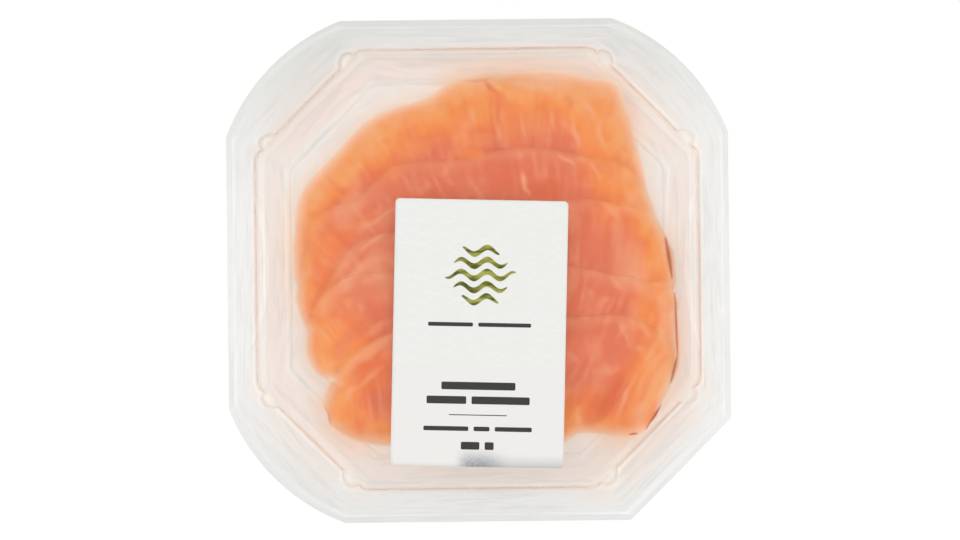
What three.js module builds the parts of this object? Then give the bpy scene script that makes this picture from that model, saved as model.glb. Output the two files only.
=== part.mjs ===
// A shut pack of smoked salmon: a clear thermoformed tray, a clear film sealed on its flange,
// a paper label stuck on the film, and thin slices of fish laid like tiles on the tray's floor.
// Millimetres. +Z is up and +Y points to the head of the label. The origin is on the surface
// that the tray stands on, under the middle of the tray's outline.
import * as THREE from "three";

// ---- Driving dimensions ----
const packWidth = 190; // the flange from side to side, both ways
const cornerReach = 43.6; // how much of each side a bulged corner takes
const cornerBulge = 6.6; // rise of a bulged corner's arc over its chord
const peelReach = 38.2; // the straight corner, where the film is gripped to peel it
const plasticThickness = 0.6;
const trayHeight = 14; // from the surface it stands on to the top of the flange

const wellCentre = new THREE.Vector2(-0.3, 0.75); // the die cuts the flange a little off centre
const wellWidth = 168;
const wellLength = 166.6;
const wellCorner = 39.7; // how much of each side the well's slanting corners take
const mouthSoftness = 150; // the higher, the crisper the well's eight corners

const stepTop = 3.1; // the sealed land ends this far inside the cut edge, with a step down
const stepFoot = 1.7;
const stepDrop = 0.8;
const rimDroop = 0.2; // the rim outside the step sinks this much to its cut edge
const mouthRound = 0.9;
const ledgeInset = 1.5; // a narrow ledge inside the mouth, at the lugs' depth
const ledgeWidth = 1.6;
const ledgeDrop = 0.5;
const floorInset = 11.5; // from the mouth to where the floor is flat
const lugHalfLength = 4.1;
const lugRise = 2.9; // how far a lug stands out of the well's wall, seen from above
const lugDepth = 4.6;
const lugFromCorner = 6.8; // from the middle of a lug to the nearest corner of the well

const filmThickness = 0.25;
const filmInset = 3.4; // the film is cut on the land, this far inside the tray's edge
const filmSag = 1.2;
const gap = 0.3; // between pieces that touch

const labelWidth = 65.4;
const labelLength = 101;
const labelCorner = 1.6;
const labelThickness = 0.25;
const labelCentre = new THREE.Vector2(0.1, -23.7);
const labelTurn = THREE.MathUtils.degToRad(-1.75);

const sliceThickness = 2.8;
const sliceEdge = 0.7; // thickness of the fish at its cut edges
const sliceTaper = 3; // how fast a slice thickens inwards from its edge
const sliceRipple = 0.18; // low waves on the upper face of a slice
const rippleLength = 17;
const sliceGap = 0.45; // between slices, which touch here and there
const drapeSlope = 0.15; // the steepest that a slice lies over the one under it
const stepsAlong = 26;
const stepsAcross = 8;
const cell = 1; // grid of the heights that the next slice lies on

// ---- The pack's outlines, as distances from the middle of the well ----
const quarter = Math.PI / 2;
const diagonals = [0, 1, 2, 3].map((i) => quarter / 2 + i * quarter);
const sideAngles = [0, 1, 2, 3].map((i) => i * quarter);
const peelDiagonal = diagonals[3];

const angleBetween = (a, b) => Math.atan2(Math.sin(a - b), Math.cos(a - b));

function rayToLine(angle, normal, distance) {
  const facing = Math.cos(angle - normal);
  return facing > 1e-6 ? distance / facing : Infinity;
}

function rayToCircle(angle, x, y, radius) {
  const along = x * Math.cos(angle) + y * Math.sin(angle);
  return along + Math.sqrt(along ** 2 - (x ** 2 + y ** 2 - radius ** 2));
}

// Distance of a side of the outline, whose middle is not the middle of the well.
const offCentre = (distance, normal) =>
  distance - wellCentre.x * Math.cos(normal) - wellCentre.y * Math.sin(normal);

function bulgedCorner(angle, diagonal, inset) {
  const chord = cornerReach * Math.SQRT2;
  const radius = ((chord / 2) ** 2 + cornerBulge ** 2) / (2 * cornerBulge);
  const middle = (packWidth - cornerReach) / Math.SQRT2 + cornerBulge - radius;
  return rayToCircle(
    angle,
    middle * Math.cos(diagonal) - wellCentre.x,
    middle * Math.sin(diagonal) - wellCentre.y,
    radius - inset,
  );
}

// The cut edge of the tray, or a line that runs inside it at an even distance.
function outlineAt(angle, inset) {
  const toSide = (n, reach) => rayToLine(angle, n, offCentre(reach, n) - inset);
  const sides = sideAngles.map((n) => toSide(n, packWidth / 2));
  const diagonal = diagonals.find((d) => Math.abs(angleBetween(angle, d)) <= quarter / 2 + 1e-6);
  const corner =
    diagonal === peelDiagonal
      ? toSide(diagonal, (packWidth - peelReach) / Math.SQRT2)
      : bulgedCorner(angle, diagonal, inset);
  return Math.min(corner, ...sides);
}

const wellEdges = [
  ...sideAngles.map((n, i) => ({ normal: n, distance: (i % 2 ? wellLength : wellWidth) / 2 })),
  ...diagonals.map((n) => ({
    normal: n,
    distance: (wellWidth / 2 + wellLength / 2 - wellCorner) / Math.SQRT2,
  })),
];

// The well's mouth, moved out by offset. Its corners are rounded by a soft minimum.
function wellAt(angle, offset) {
  const hits = wellEdges.map((e) => rayToLine(angle, e.normal, e.distance + offset));
  const nearest = Math.min(...hits);
  const sum = hits.reduce((total, hit) => total + (nearest / hit) ** mouthSoftness, 0);
  return nearest * sum ** (-1 / mouthSoftness);
}

// ---- The lugs: half-round pockets in the wall, at both ends of each slanting corner ----
const slant = wellEdges[4].distance;
const slantHalf = wellCorner / Math.SQRT2;
const lugPlaces = [-1, 1].map((end) => end * (slantHalf - lugFromCorner));

function lugAt(angle) {
  const diagonal = diagonals.find((d) => Math.abs(angleBetween(angle, d)) <= quarter / 2 + 1e-6);
  const along = slant * Math.tan(angleBetween(angle, diagonal));
  const across = lugPlaces.map((place) => (along - place) / lugHalfLength);
  const inside = across.find((a) => Math.abs(a) < 1);
  return inside === undefined ? 0 : lugRise * Math.sqrt(1 - inside ** 2);
}

// ---- The directions in which the outlines are sampled ----
const onSlant = (along) => Math.atan(along / slant);
const lugSamples = [-1, -0.85, -0.5, 0, 0.5, 0.85, 1];
const slantSamples = [
  ...[-0.35, 0, 0.35].map((share) => onSlant(share * slantHalf)),
  ...lugPlaces.flatMap((place) => lugSamples.map((s) => onSlant(place + s * lugHalfLength))),
  ...[-1, 1].flatMap((end) => [0, 2.2].map((past) => onSlant(end * (slantHalf + past)))),
];
const sideSamples = [-24, 0, 24].map((along) => Math.atan(along / (wellWidth / 2)));
const outlineCorners = sideAngles.flatMap((n) =>
  [-1, 1].map((end) => {
    const toPeel = Math.abs(angleBetween(n + (end * quarter) / 2, peelDiagonal)) < 0.01;
    const reach = packWidth / 2 - (toPeel ? peelReach : cornerReach);
    const x = (packWidth / 2) * Math.cos(n) - end * reach * Math.sin(n) - wellCentre.x;
    const y = (packWidth / 2) * Math.sin(n) + end * reach * Math.cos(n) - wellCentre.y;
    return Math.atan2(y, x);
  }),
);
const turn = 2 * Math.PI;
const closest = 0.004;
const angles = [
  ...outlineCorners,
  ...diagonals.flatMap((d) => slantSamples.map((s) => d + s)),
  ...sideAngles.flatMap((n) => sideSamples.map((s) => n + s)),
]
  .map((a) => ((a % turn) + turn) % turn)
  .sort((a, b) => a - b)
  .filter((a, i, all) => i === 0 || a - all[i - 1] > closest);

const pointAt = (angle, radius, z) => [
  wellCentre.x + radius * Math.cos(angle),
  wellCentre.y + radius * Math.sin(angle),
  z,
];

// ---- Solids ----
function solid(name, positions, indices, material) {
  const geometry = new THREE.BufferGeometry();
  geometry.setAttribute("position", new THREE.Float32BufferAttribute(positions.flat(), 3));
  geometry.setIndex(indices);
  geometry.computeVertexNormals();
  const mesh = new THREE.Mesh(geometry, material);
  mesh.name = name;
  return mesh;
}

// A sheet with two faces, each given as rings of points from the rim inwards and a middle point.
function ringedSheet(name, upper, lower, material) {
  const count = upper.rings[0].length;
  const positions = [];
  const indices = [];
  const addFace = (face, flip) => {
    const start = positions.length;
    positions.push(...face.rings.flat(), face.middle);
    const triangle = (a, b, c) => indices.push(...(flip ? [a, c, b] : [a, b, c]));
    for (let i = 0; i < count; i++) {
      const j = (i + 1) % count;
      for (let ring = 1; ring < face.rings.length; ring++) {
        const outer = start + (ring - 1) * count;
        const inner = outer + count;
        triangle(outer + i, outer + j, inner + j);
        triangle(outer + i, inner + j, inner + i);
      }
      const last = start + (face.rings.length - 1) * count;
      triangle(last + i, last + j, last + count);
    }
    return start;
  };
  const top = addFace(upper, false);
  const bottom = addFace(lower, true);
  for (let i = 0; i < count; i++) {
    const j = (i + 1) % count;
    indices.push(top + i, bottom + i, bottom + j, top + i, bottom + j, top + j);
  }
  return solid(name, positions, indices, material);
}

// A sheet with two faces, each given as rows of points.
function griddedSheet(name, upper, lower, material) {
  const rows = upper.length;
  const columns = upper[0].length;
  const positions = [...upper.flat(), ...lower.flat()];
  const indices = [];
  const at = (row, column) => row * columns + column;
  const below = rows * columns;
  for (let r = 0; r + 1 < rows; r++) {
    for (let c = 0; c + 1 < columns; c++) {
      const [a, b, d, e] = [at(r, c), at(r, c + 1), at(r + 1, c), at(r + 1, c + 1)];
      indices.push(a, d, e, a, e, b);
      indices.push(below + a, below + e, below + d, below + a, below + b, below + e);
    }
  }
  const border = [];
  for (let r = 0; r < rows; r++) border.push(at(r, 0));
  for (let c = 1; c < columns; c++) border.push(at(rows - 1, c));
  for (let r = rows - 2; r >= 0; r--) border.push(at(r, columns - 1));
  for (let c = columns - 2; c > 0; c--) border.push(at(0, c));
  border.forEach((a, i) => {
    const b = border[(i + 1) % border.length];
    indices.push(a, below + a, below + b, a, below + b, b);
  });
  return solid(name, positions, indices, material);
}

// ---- The tray ----
// Its upper face in section, from the cut edge inwards. A ring keeps an offset to the tray's
// outline or to the well's mouth, and takes a share of the lugs' rise.
const besideEdge = (a, offset) => outlineAt(a, -offset);
const wellSection = [
  { line: wellAt, offset: mouthRound, z: trayHeight, lug: 1 },
  { line: wellAt, offset: 0, z: trayHeight - mouthRound, lug: 1 },
  { line: wellAt, offset: -0.9, z: trayHeight - lugDepth + 0.4, lug: 0.85 },
  { line: wellAt, offset: -ledgeInset, z: trayHeight - lugDepth, lug: 0 },
  { line: wellAt, offset: -ledgeInset - ledgeWidth, z: trayHeight - lugDepth - ledgeDrop, lug: 0 },
  { line: wellAt, offset: 3 - floorInset, z: plasticThickness + 2.4, lug: 0 },
  { line: wellAt, offset: 1.3 - floorInset, z: plasticThickness + 0.6, lug: 0 },
  { line: wellAt, offset: -floorInset, z: plasticThickness, lug: 0 },
];
const traySection = [
  { line: besideEdge, offset: 0, z: trayHeight - stepDrop - rimDroop, lug: 0 },
  { line: besideEdge, offset: -stepFoot, z: trayHeight - stepDrop, lug: 0 },
  { line: besideEdge, offset: -stepTop, z: trayHeight, lug: 0 },
  ...wellSection,
];

// The section moved square to itself by the thickness of the plastic, which gives the lower face.
function thickened(section) {
  const square = section.map((point, i) => {
    if (i === 0 || i === section.length - 1) return null;
    const before = section[i - 1];
    const after = section[i + 1];
    const normals = [
      [point, before],
      [after, point],
    ].map(([inner, outer]) => {
      const run = outer.line === inner.line ? outer.offset - inner.offset : 1;
      const rise = outer.z - inner.z;
      const length = Math.hypot(run, rise);
      return [rise / length, -run / length];
    });
    const sum = [normals[0][0] + normals[1][0], normals[0][1] + normals[1][1]];
    const stretch = (2 * plasticThickness) / (sum[0] ** 2 + sum[1] ** 2);
    return [sum[0] * stretch, sum[1] * stretch];
  });
  return section.map((point, i) => {
    const [out, up] = square[i] ?? [0, -plasticThickness];
    return { ...point, offset: point.offset + out, z: point.z + up };
  });
}

const sectionRing = (point) =>
  angles.map((a) => pointAt(a, point.line(a, point.offset) + point.lug * lugAt(a), point.z));

const trayFace = (section) => ({
  rings: section.map(sectionRing),
  middle: [wellCentre.x, wellCentre.y, section.at(-1).z],
});

function makeTray() {
  return ringedSheet(
    "tray",
    trayFace(traySection),
    trayFace(thickened(traySection)),
    new THREE.MeshStandardMaterial({
      color: 0xe9ecee,
      roughness: 0.12,
      transparent: true,
      opacity: 0.3,
    }),
  );
}

// ---- The film: flat where it is sealed, sagging over the well ----
const sagShares = [0.7, 0.35]; // rings inside the mouth, as shares of its radius
const sagAt = (share) => filmSag * (1 - Math.min(share, 1) ** 2) ** 2;

function filmFace(lift) {
  const land = trayHeight + gap + lift;
  return {
    rings: [
      angles.map((a) => pointAt(a, outlineAt(a, filmInset), land)),
      angles.map((a) => pointAt(a, wellAt(a, 0), land)),
      ...sagShares.map((s) => angles.map((a) => pointAt(a, s * wellAt(a, 0), land - sagAt(s)))),
    ],
    middle: [wellCentre.x, wellCentre.y, land - sagAt(0)],
  };
}

function makeFilm() {
  return ringedSheet(
    "lid_film",
    filmFace(filmThickness),
    filmFace(0),
    new THREE.MeshStandardMaterial({
      color: 0xf4f4f2,
      roughness: 0.08,
      transparent: true,
      opacity: 0.2,
    }),
  );
}

// ---- The label, lying on the film ----
const labelShares = [1, 0.62, 0.3];
const cornerSteps = 4;

function labelOutline() {
  const points = [];
  const inX = labelWidth / 2 - labelCorner;
  const inY = labelLength / 2 - labelCorner;
  const corners = [
    [inX, -inY, -quarter],
    [inX, inY, 0],
    [-inX, inY, quarter],
    [-inX, -inY, 2 * quarter],
  ];
  corners.forEach(([x, y, from], i) => {
    for (let s = 0; s <= cornerSteps; s++) {
      const a = from + (quarter * s) / cornerSteps;
      points.push([x + labelCorner * Math.cos(a), y + labelCorner * Math.sin(a)]);
    }
    const next = corners[(i + 1) % 4];
    const sideSteps = 6;
    for (let s = 1; s < sideSteps; s++) {
      const t = s / sideSteps;
      const start = points.at(-1 - (s - 1));
      const end = [
        next[0] + labelCorner * Math.cos(next[2]),
        next[1] + labelCorner * Math.sin(next[2]),
      ];
      points.push([start[0] + (end[0] - start[0]) * t, start[1] + (end[1] - start[1]) * t]);
    }
  });
  return points;
}

function onFilm(x, y, lift) {
  const dx = x - wellCentre.x;
  const dy = y - wellCentre.y;
  const share = Math.hypot(dx, dy) / wellAt(Math.atan2(dy, dx), 0);
  return [x, y, trayHeight + gap + filmThickness + gap + lift - sagAt(share)];
}

function labelFace(lift) {
  const cos = Math.cos(labelTurn);
  const sin = Math.sin(labelTurn);
  const place = (x, y) =>
    onFilm(labelCentre.x + x * cos - y * sin, labelCentre.y + x * sin + y * cos, lift);
  return {
    rings: labelShares.map((s) => labelOutline().map(([x, y]) => place(x * s, y * s))),
    middle: place(0, 0),
  };
}

function makeLabel() {
  return ringedSheet(
    "label",
    labelFace(labelThickness),
    labelFace(0),
    new THREE.MeshStandardMaterial({ color: 0xf1f2ef, roughness: 0.55 }),
  );
}

// ---- The slices of fish, from the one laid first to the one laid last ----
// Each has a far edge, which shows above the next slice, and a near edge, both from left to right.
const slices = [
  {
    name: "slice_1",
    far: [[-68, -14.5], [-70.7, -1], [-70.9, 11], [-67.8, 30], [-57, 42.8], [-40, 59.2],
      [-19, 66.8], [-9, 72.8], [2, 75], [13, 75.6]],
    near: [[-54, -17], [-46, 4], [-32, 20], [-12, 26], [15, 26]],
  },
  {
    name: "slice_2",
    far: [[3.5, 74.8], [18, 75.9], [34, 74.9], [45, 72.9], [52.4, 70.6], [57.5, 60.6], [61.8, 46.2],
      [65, 31], [67, 20]],
    near: [[9.5, 27], [20, 25], [34, 22], [50, 16], [61, 9]],
  },
  {
    name: "slice_3",
    far: [[-59, -30], [-66, -22.5], [-69.3, -14], [-69.9, -7], [-67.2, 4], [-64, 18], [-56, 25],
      [-46, 27.5], [-40, 34], [-32, 40.5], [-10, 42.5], [17, 47], [40, 43.6], [57, 39],
      [65.8, 28], [70, 13]],
    near: [[-52, -40], [-42, -24], [-26, -9], [0, -4], [30, -3], [52, -5], [68, -7]],
  },
  {
    name: "slice_4",
    far: [[-58, -38], [-60, -22], [-57.5, -4], [-50, 8], [-42, 13.5], [-24, 15.5], [0, 19],
      [24, 25], [42, 27], [55, 24.4], [66.5, 21.5], [72.8, 11], [75.2, 2], [75, -7]],
    near: [[-45, -44], [-32, -38], [-10, -33], [20, -30], [48, -28], [70, -27]],
  },
  {
    name: "slice_5",
    far: [[-54, -41.5], [-61.8, -39.3], [-66.2, -31.9], [-66.6, -25.5], [-64.6, -17], [-60, -9],
      [-54.5, -3.6], [-46, -1], [-20, 0.5], [14, 2], [39, 1], [50, -1.8], [58, -2.8],
      [64.5, -5.2], [71.5, -4.5], [75.9, -11], [76.1, -19.4], [76.9, -28.3], [76.2, -37.8],
      [72, -46]],
    near: [[-51, -45], [-32, -54], [0, -58], [33, -57], [52, -56], [65, -52]],
  },
  {
    name: "slice_6",
    far: [[-60.2, -50.8], [-57.8, -43.5], [-53, -37.6], [-47, -30], [-40, -25.5], [-30, -21],
      [-8, -18.5], [18, -17.5], [38, -18], [52, -17], [62, -20], [71.5, -27.5], [74.3, -39],
      [69, -52.5]],
    near: [[-57.1, -58.9], [-48.5, -64.4], [-36, -67], [-10, -66.8], [18, -66.8], [31, -66.6],
      [38.8, -62.8], [44.5, -63.2], [52, -63.9], [58, -63.9], [62.8, -61.8]],
  },
];

const curveThrough = (points) =>
  new THREE.CatmullRomCurve3(
    points.map(([x, y]) => new THREE.Vector3(x, y, 0)),
    false,
    "centripetal",
  );

// The inside of the well as heights: flat floor, rounded foot and sloping wall.
function wellHeight(x, y) {
  const inside = Math.max(
    ...wellEdges.map(
      (e) =>
        (x - wellCentre.x) * Math.cos(e.normal) + (y - wellCentre.y) * Math.sin(e.normal) - e.distance,
    ),
  );
  const outer = wellSection.findLastIndex((point) => point.offset >= inside);
  if (outer < 0) return trayHeight;
  if (outer === wellSection.length - 1) return plasticThickness;
  const [a, b] = [wellSection[outer], wellSection[outer + 1]];
  return THREE.MathUtils.mapLinear(inside, a.offset, b.offset, a.z, b.z);
}

const half = 80;
const cells = (2 * half) / cell;
const cellMiddle = (i) => -half + (i + 0.5) * cell;
const heights = Array.from({ length: cells }, () => new Array(cells).fill(0));
const cellsIn = (low, high) => {
  const first = Math.max(0, Math.floor((low + half) / cell));
  const last = Math.min(cells - 1, Math.ceil((high + half) / cell));
  return [first, last];
};

// The lowest that a slice can lie over a point. It follows the well's foot, and otherwise slopes
// no more than drapeSlope.
function supportAt(x, y) {
  const reach = 30;
  const [firstRow, lastRow] = cellsIn(y - reach, y + reach);
  const [firstColumn, lastColumn] = cellsIn(x - reach, x + reach);
  let highest = wellHeight(x, y);
  for (let row = firstRow; row <= lastRow; row++) {
    for (let column = firstColumn; column <= lastColumn; column++) {
      const away = Math.hypot(cellMiddle(column) - x, cellMiddle(row) - y);
      highest = Math.max(highest, heights[row][column] - drapeSlope * away);
    }
  }
  return highest;
}

// Raises the heights to the top of a triangle of a slice's upper face.
function pileTriangle(a, b, c) {
  const [firstRow, lastRow] = cellsIn(Math.min(a[1], b[1], c[1]), Math.max(a[1], b[1], c[1]));
  const [firstColumn, lastColumn] = cellsIn(Math.min(a[0], b[0], c[0]), Math.max(a[0], b[0], c[0]));
  const area = (b[0] - a[0]) * (c[1] - a[1]) - (c[0] - a[0]) * (b[1] - a[1]);
  for (let row = firstRow; row <= lastRow; row++) {
    for (let column = firstColumn; column <= lastColumn; column++) {
      const [x, y] = [cellMiddle(column), cellMiddle(row)];
      const u = ((b[0] - x) * (c[1] - y) - (c[0] - x) * (b[1] - y)) / area;
      const v = ((c[0] - x) * (a[1] - y) - (a[0] - x) * (c[1] - y)) / area;
      const w = 1 - u - v;
      if (Math.min(u, v, w) < -0.05) continue;
      heights[row][column] = Math.max(heights[row][column], u * a[2] + v * b[2] + w * c[2]);
    }
  }
}

function thicknessAt(t, s, length, width, phase) {
  const fromEdge = Math.min(t * length, (1 - t) * length, s * width, (1 - s) * width);
  const body = 1 - Math.exp(-fromEdge / sliceTaper);
  const wave = Math.sin((turn * t * length) / rippleLength + phase + 2 * s);
  return sliceEdge + (sliceThickness - sliceEdge + sliceRipple * wave) * body;
}

function makeSlice({ name, far, near }, index) {
  const farCurve = curveThrough(far);
  const nearCurve = curveThrough(near);
  const length = farCurve.getLength();
  const upper = [];
  const lower = [];
  for (let i = 0; i <= stepsAcross; i++) {
    const s = i / stepsAcross;
    const rows = [[], []];
    for (let j = 0; j <= stepsAlong; j++) {
      const t = j / stepsAlong;
      const from = farCurve.getPointAt(t);
      const to = nearCurve.getPointAt(t);
      const at = from.clone().lerp(to, s);
      const under = supportAt(at.x, at.y) + sliceGap;
      const top = under + thicknessAt(t, s, length, from.distanceTo(to), 1.9 * index);
      rows[0].push([at.x, at.y, top]);
      rows[1].push([at.x, at.y, under]);
    }
    upper.push(rows[0]);
    lower.push(rows[1]);
  }
  for (let i = 0; i < stepsAcross; i++) {
    for (let j = 0; j < stepsAlong; j++) {
      const [a, b, d, e] = [upper[i][j], upper[i][j + 1], upper[i + 1][j], upper[i + 1][j + 1]];
      pileTriangle(a, d, e);
      pileTriangle(a, e, b);
    }
  }
  const material = new THREE.MeshStandardMaterial({ color: 0xe79070, roughness: 0.35 });
  return griddedSheet(name, upper, lower, material);
}

const pack = new THREE.Group();
pack.add(makeTray());
slices.forEach((slice, index) => pack.add(makeSlice(slice, index)));
pack.add(makeFilm(), makeLabel());

export default pack;
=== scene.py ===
# A shut pack of smoked salmon, lying on a pale floor and seen from above. Each piece stands for a
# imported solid, or is printed on one, and keeps to its place. Metres, +Z up, +Y to the label's head.
import math
from types import SimpleNamespace

import bmesh
import bpy
import numpy as np
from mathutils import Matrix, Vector
from mathutils.bvhtree import BVHTree
from mathutils.kdtree import KDTree


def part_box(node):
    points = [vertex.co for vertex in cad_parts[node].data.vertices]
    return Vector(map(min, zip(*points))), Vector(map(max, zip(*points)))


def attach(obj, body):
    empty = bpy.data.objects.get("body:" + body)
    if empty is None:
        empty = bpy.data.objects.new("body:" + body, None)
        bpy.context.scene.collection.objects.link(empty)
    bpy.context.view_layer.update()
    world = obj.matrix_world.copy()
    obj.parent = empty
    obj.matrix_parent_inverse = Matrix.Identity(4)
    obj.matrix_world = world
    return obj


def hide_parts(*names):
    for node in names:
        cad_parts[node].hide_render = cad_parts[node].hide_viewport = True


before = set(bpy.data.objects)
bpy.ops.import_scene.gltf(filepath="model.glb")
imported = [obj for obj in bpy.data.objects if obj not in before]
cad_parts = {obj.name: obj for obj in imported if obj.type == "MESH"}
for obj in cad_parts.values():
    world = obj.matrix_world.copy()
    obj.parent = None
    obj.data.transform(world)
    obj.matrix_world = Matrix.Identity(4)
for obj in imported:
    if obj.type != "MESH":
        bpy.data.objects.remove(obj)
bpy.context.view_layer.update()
mm = 0.001

# ---- The tray ----
# One sheet of clear plastic, heated and drawn down into a mould, then cut out by a die. It has a
# flat floor, a sloping wall with a half-round lug at both ends of each slanting corner, a flat
# land that the film is sealed to, and a step down to a narrow rim.
tray_low, tray_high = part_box("tray")
pack_width = tray_high.x - tray_low.x
tray_height = tray_high.z
plastic_thickness = 0.6 * mm
corner_reach = 43.6 * mm  # how much of each side a slanting corner takes
corner_bulge = 6.6 * mm  # how far its middle is drawn out
peel_reach = 38.2 * mm  # the reach of the straight corner, where the film is peeled off

well_centre = np.array([-0.3, 0.75]) * mm
well_width = 168 * mm
well_length = 166.6 * mm
well_corner = 39.7 * mm
mouth_softness = 150  # the lower, the rounder the mouth's eight corners

step_top = 3.1 * mm  # the land ends this far inside the cut edge, and the rim begins at the foot
step_foot = 2.2 * mm
step_drop = 0.8 * mm
step_round = 0.6 * mm
rim_droop = 0.05 * mm
edge_support = 0.12 * mm  # a ring this close to a cut edge keeps it crisp
mouth_round = 0.9 * mm
wall_lean = 0.9 * mm
ledge_inset = 1.5 * mm
ledge_width = 1.6 * mm
ledge_drop = 0.5 * mm
floor_inset = 11.5 * mm
floor_shares = (0.94, 0.91, 0.88, 0.85, 0.8, 0.6, 0.25, 0)  # rings of the flat floor
lug_half_length = 3.8 * mm
lug_rise = 3.1 * mm
lug_depth = 4.6 * mm
lug_from_corner = 6.8 * mm
lug_shape = 0.7  # 0.5 is round, 1 is a parabola

quarter = math.pi / 2
side_angles = [i * quarter for i in range(4)]
diagonals = [quarter / 2 + i * quarter for i in range(4)]
peel_diagonal = diagonals[3]


def ray_to_line(angles, normal, distance):
    facing = np.cos(angles - normal)
    return np.where(facing > 1e-6, distance / np.maximum(facing, 1e-6), np.inf)


def ray_to_circle(angles, x, y, radius):
    along = x * np.cos(angles) + y * np.sin(angles)
    return along + np.sqrt(np.maximum(along**2 - (x**2 + y**2 - radius**2), 0))


def off_centre(distance, normal):
    """A distance from the pack's middle, given from the middle of the well instead."""
    return distance - well_centre[0] * math.cos(normal) - well_centre[1] * math.sin(normal)


def bulged_corner(angles, diagonal, inset):
    chord = corner_reach * math.sqrt(2)
    radius = ((chord / 2) ** 2 + corner_bulge**2) / (2 * corner_bulge)
    middle = (pack_width - corner_reach) / math.sqrt(2) + corner_bulge - radius
    x = middle * math.cos(diagonal) - well_centre[0]
    y = middle * math.sin(diagonal) - well_centre[1]
    return ray_to_circle(angles, x, y, radius - inset)


def angle_from(angles, middle):
    return np.arctan2(np.sin(angles - middle), np.cos(angles - middle))


def outline_at(angles, inset=0.0):
    """From the middle of the well to a line at an even distance inside the tray's cut edge."""
    nearest = np.full(angles.shape, np.inf)
    for normal in side_angles:
        reach = off_centre(pack_width / 2, normal) - inset
        nearest = np.minimum(nearest, ray_to_line(angles, normal, reach))
    for diagonal in diagonals:
        if diagonal == peel_diagonal:
            reach = off_centre((pack_width - peel_reach) / math.sqrt(2), diagonal) - inset
            corner = ray_to_line(angles, diagonal, reach)
        else:
            corner = bulged_corner(angles, diagonal, inset)
        here = np.abs(angle_from(angles, diagonal)) <= quarter / 2 + 1e-6
        nearest = np.where(here, np.minimum(nearest, corner), nearest)
    return nearest


slant = (well_width / 2 + well_length / 2 - well_corner) / math.sqrt(2)
well_edges = [(n, (well_length if i % 2 else well_width) / 2) for i, n in enumerate(side_angles)]
well_edges += [(n, slant) for n in diagonals]


def well_at(angles, offset=0.0):
    """From the middle of the well to its mouth, moved out by offset, in each direction."""
    hits = np.array([ray_to_line(angles, n, distance + offset) for n, distance in well_edges])
    nearest = hits.min(axis=0)
    return nearest * ((nearest / hits) ** mouth_softness).sum(axis=0) ** (-1 / mouth_softness)


def lug_at(angles, narrower=0.0):
    """How far the lugs stand out of the wall, in each direction."""
    rise = np.zeros(angles.shape)
    place = well_corner / math.sqrt(2) - lug_from_corner
    for diagonal in diagonals:
        turned = angle_from(angles, diagonal)
        here = np.abs(turned) <= quarter / 2
        along = slant * np.tan(np.where(here, turned, 0))
        for end in (-place, place):
            share = (along - end) / (lug_half_length - narrower)
            half_round = lug_rise * np.clip(1 - share**2, 0, 1) ** lug_shape
            rise = np.where(here, np.maximum(rise, half_round), rise)
    return rise


def around(count, crowding):
    """Directions round the well, closer together at its slanting corners."""
    even = np.linspace(0, 2 * math.pi, count + 1)
    return even - crowding / 4 * np.sin(4 * (even - quarter / 2))


def ring(angles, radius, height):
    x = well_centre[0] + radius * np.cos(angles)
    y = well_centre[1] + radius * np.sin(angles)
    return np.stack([x, y, np.broadcast_to(height, x.shape)], axis=1)


def rounded(rings, radii, steps):
    """Rings with each corner of the section, apart from the first and last, drawn as an arc.

    A ring beside both ends of each arc keeps the stretches between them flat in smooth shading.
    """
    beside = 0.2 * mm
    longest_arc, longest_support = 0.36, 0.47  # shares of the stretch to the next corner
    result = [rings[0]]
    for i in range(1, len(rings) - 1):
        before, corner, after = rings[i - 1], rings[i], rings[i + 1]
        ends, supports = [], []
        for other in (before, after):
            length = np.maximum(np.linalg.norm(other - corner, axis=1, keepdims=True), 1e-9)
            share = np.minimum(radii[i] / length, longest_arc)
            ends.append(corner + (other - corner) * share)
            share = np.minimum(share + beside / length, longest_support)
            supports.append(corner + (other - corner) * share)
        result.append(supports[0])
        for step in range(steps + 1):
            w = step / steps
            result.append(ends[0] * (1 - w) ** 2 + corner * 2 * w * (1 - w) + ends[1] * w**2)
        result.append(supports[1])
    return result + [rings[-1]]


def tray_rings(angles):
    """The tray's upper face in rings, from its cut edge to the middle of its floor."""
    rim = tray_height - step_drop
    ledge = tray_height - lug_depth
    floor = plastic_thickness
    # Each bend outside the mouth: how far inside the cut edge it is, its height and its radius.
    outer = [
        (edge_support, rim - rim_droop, 0),
        (step_foot, rim, step_round),
        (step_top, tray_height, step_round),
    ]
    # Each bend from the mouth down: how far outside the mouth it is, its height, how much of the
    # lugs there is at it, and its radius.
    wall = [
        (mouth_round, tray_height, 1, mouth_round),
        (0, tray_height - mouth_round, 1, mouth_round),
        (-wall_lean, ledge + 0.4 * mm, 0.85, 0.5 * mm),
        (-ledge_inset, ledge, 0, 0.5 * mm),
        (-ledge_inset - ledge_width, ledge - ledge_drop, 0, 0.8 * mm),
        (3 * mm - floor_inset, floor + 2.4 * mm, 0, 2 * mm),
        (1.3 * mm - floor_inset, floor + 0.6 * mm, 0, 1.2 * mm),
        (-floor_inset, floor, 0, 1 * mm),
    ]
    rings = [ring(angles, outline_at(angles, inset), height) for inset, height, _ in outer]
    for out, height, share, _ in wall:
        lugs = share * lug_at(angles, np.clip(-out, -mouth_round, wall_lean))
        rings.append(ring(angles, well_at(angles, out) + lugs, height))
    flat = [ring(angles, share * well_at(angles, -floor_inset), floor) for share in floor_shares]
    radii = [radius for *_, radius in outer + wall] + [0]
    cut_edge = ring(angles, outline_at(angles), rim - rim_droop)
    return [cut_edge] + rounded(rings + flat[:1], radii, steps=2) + flat[1:]


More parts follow.
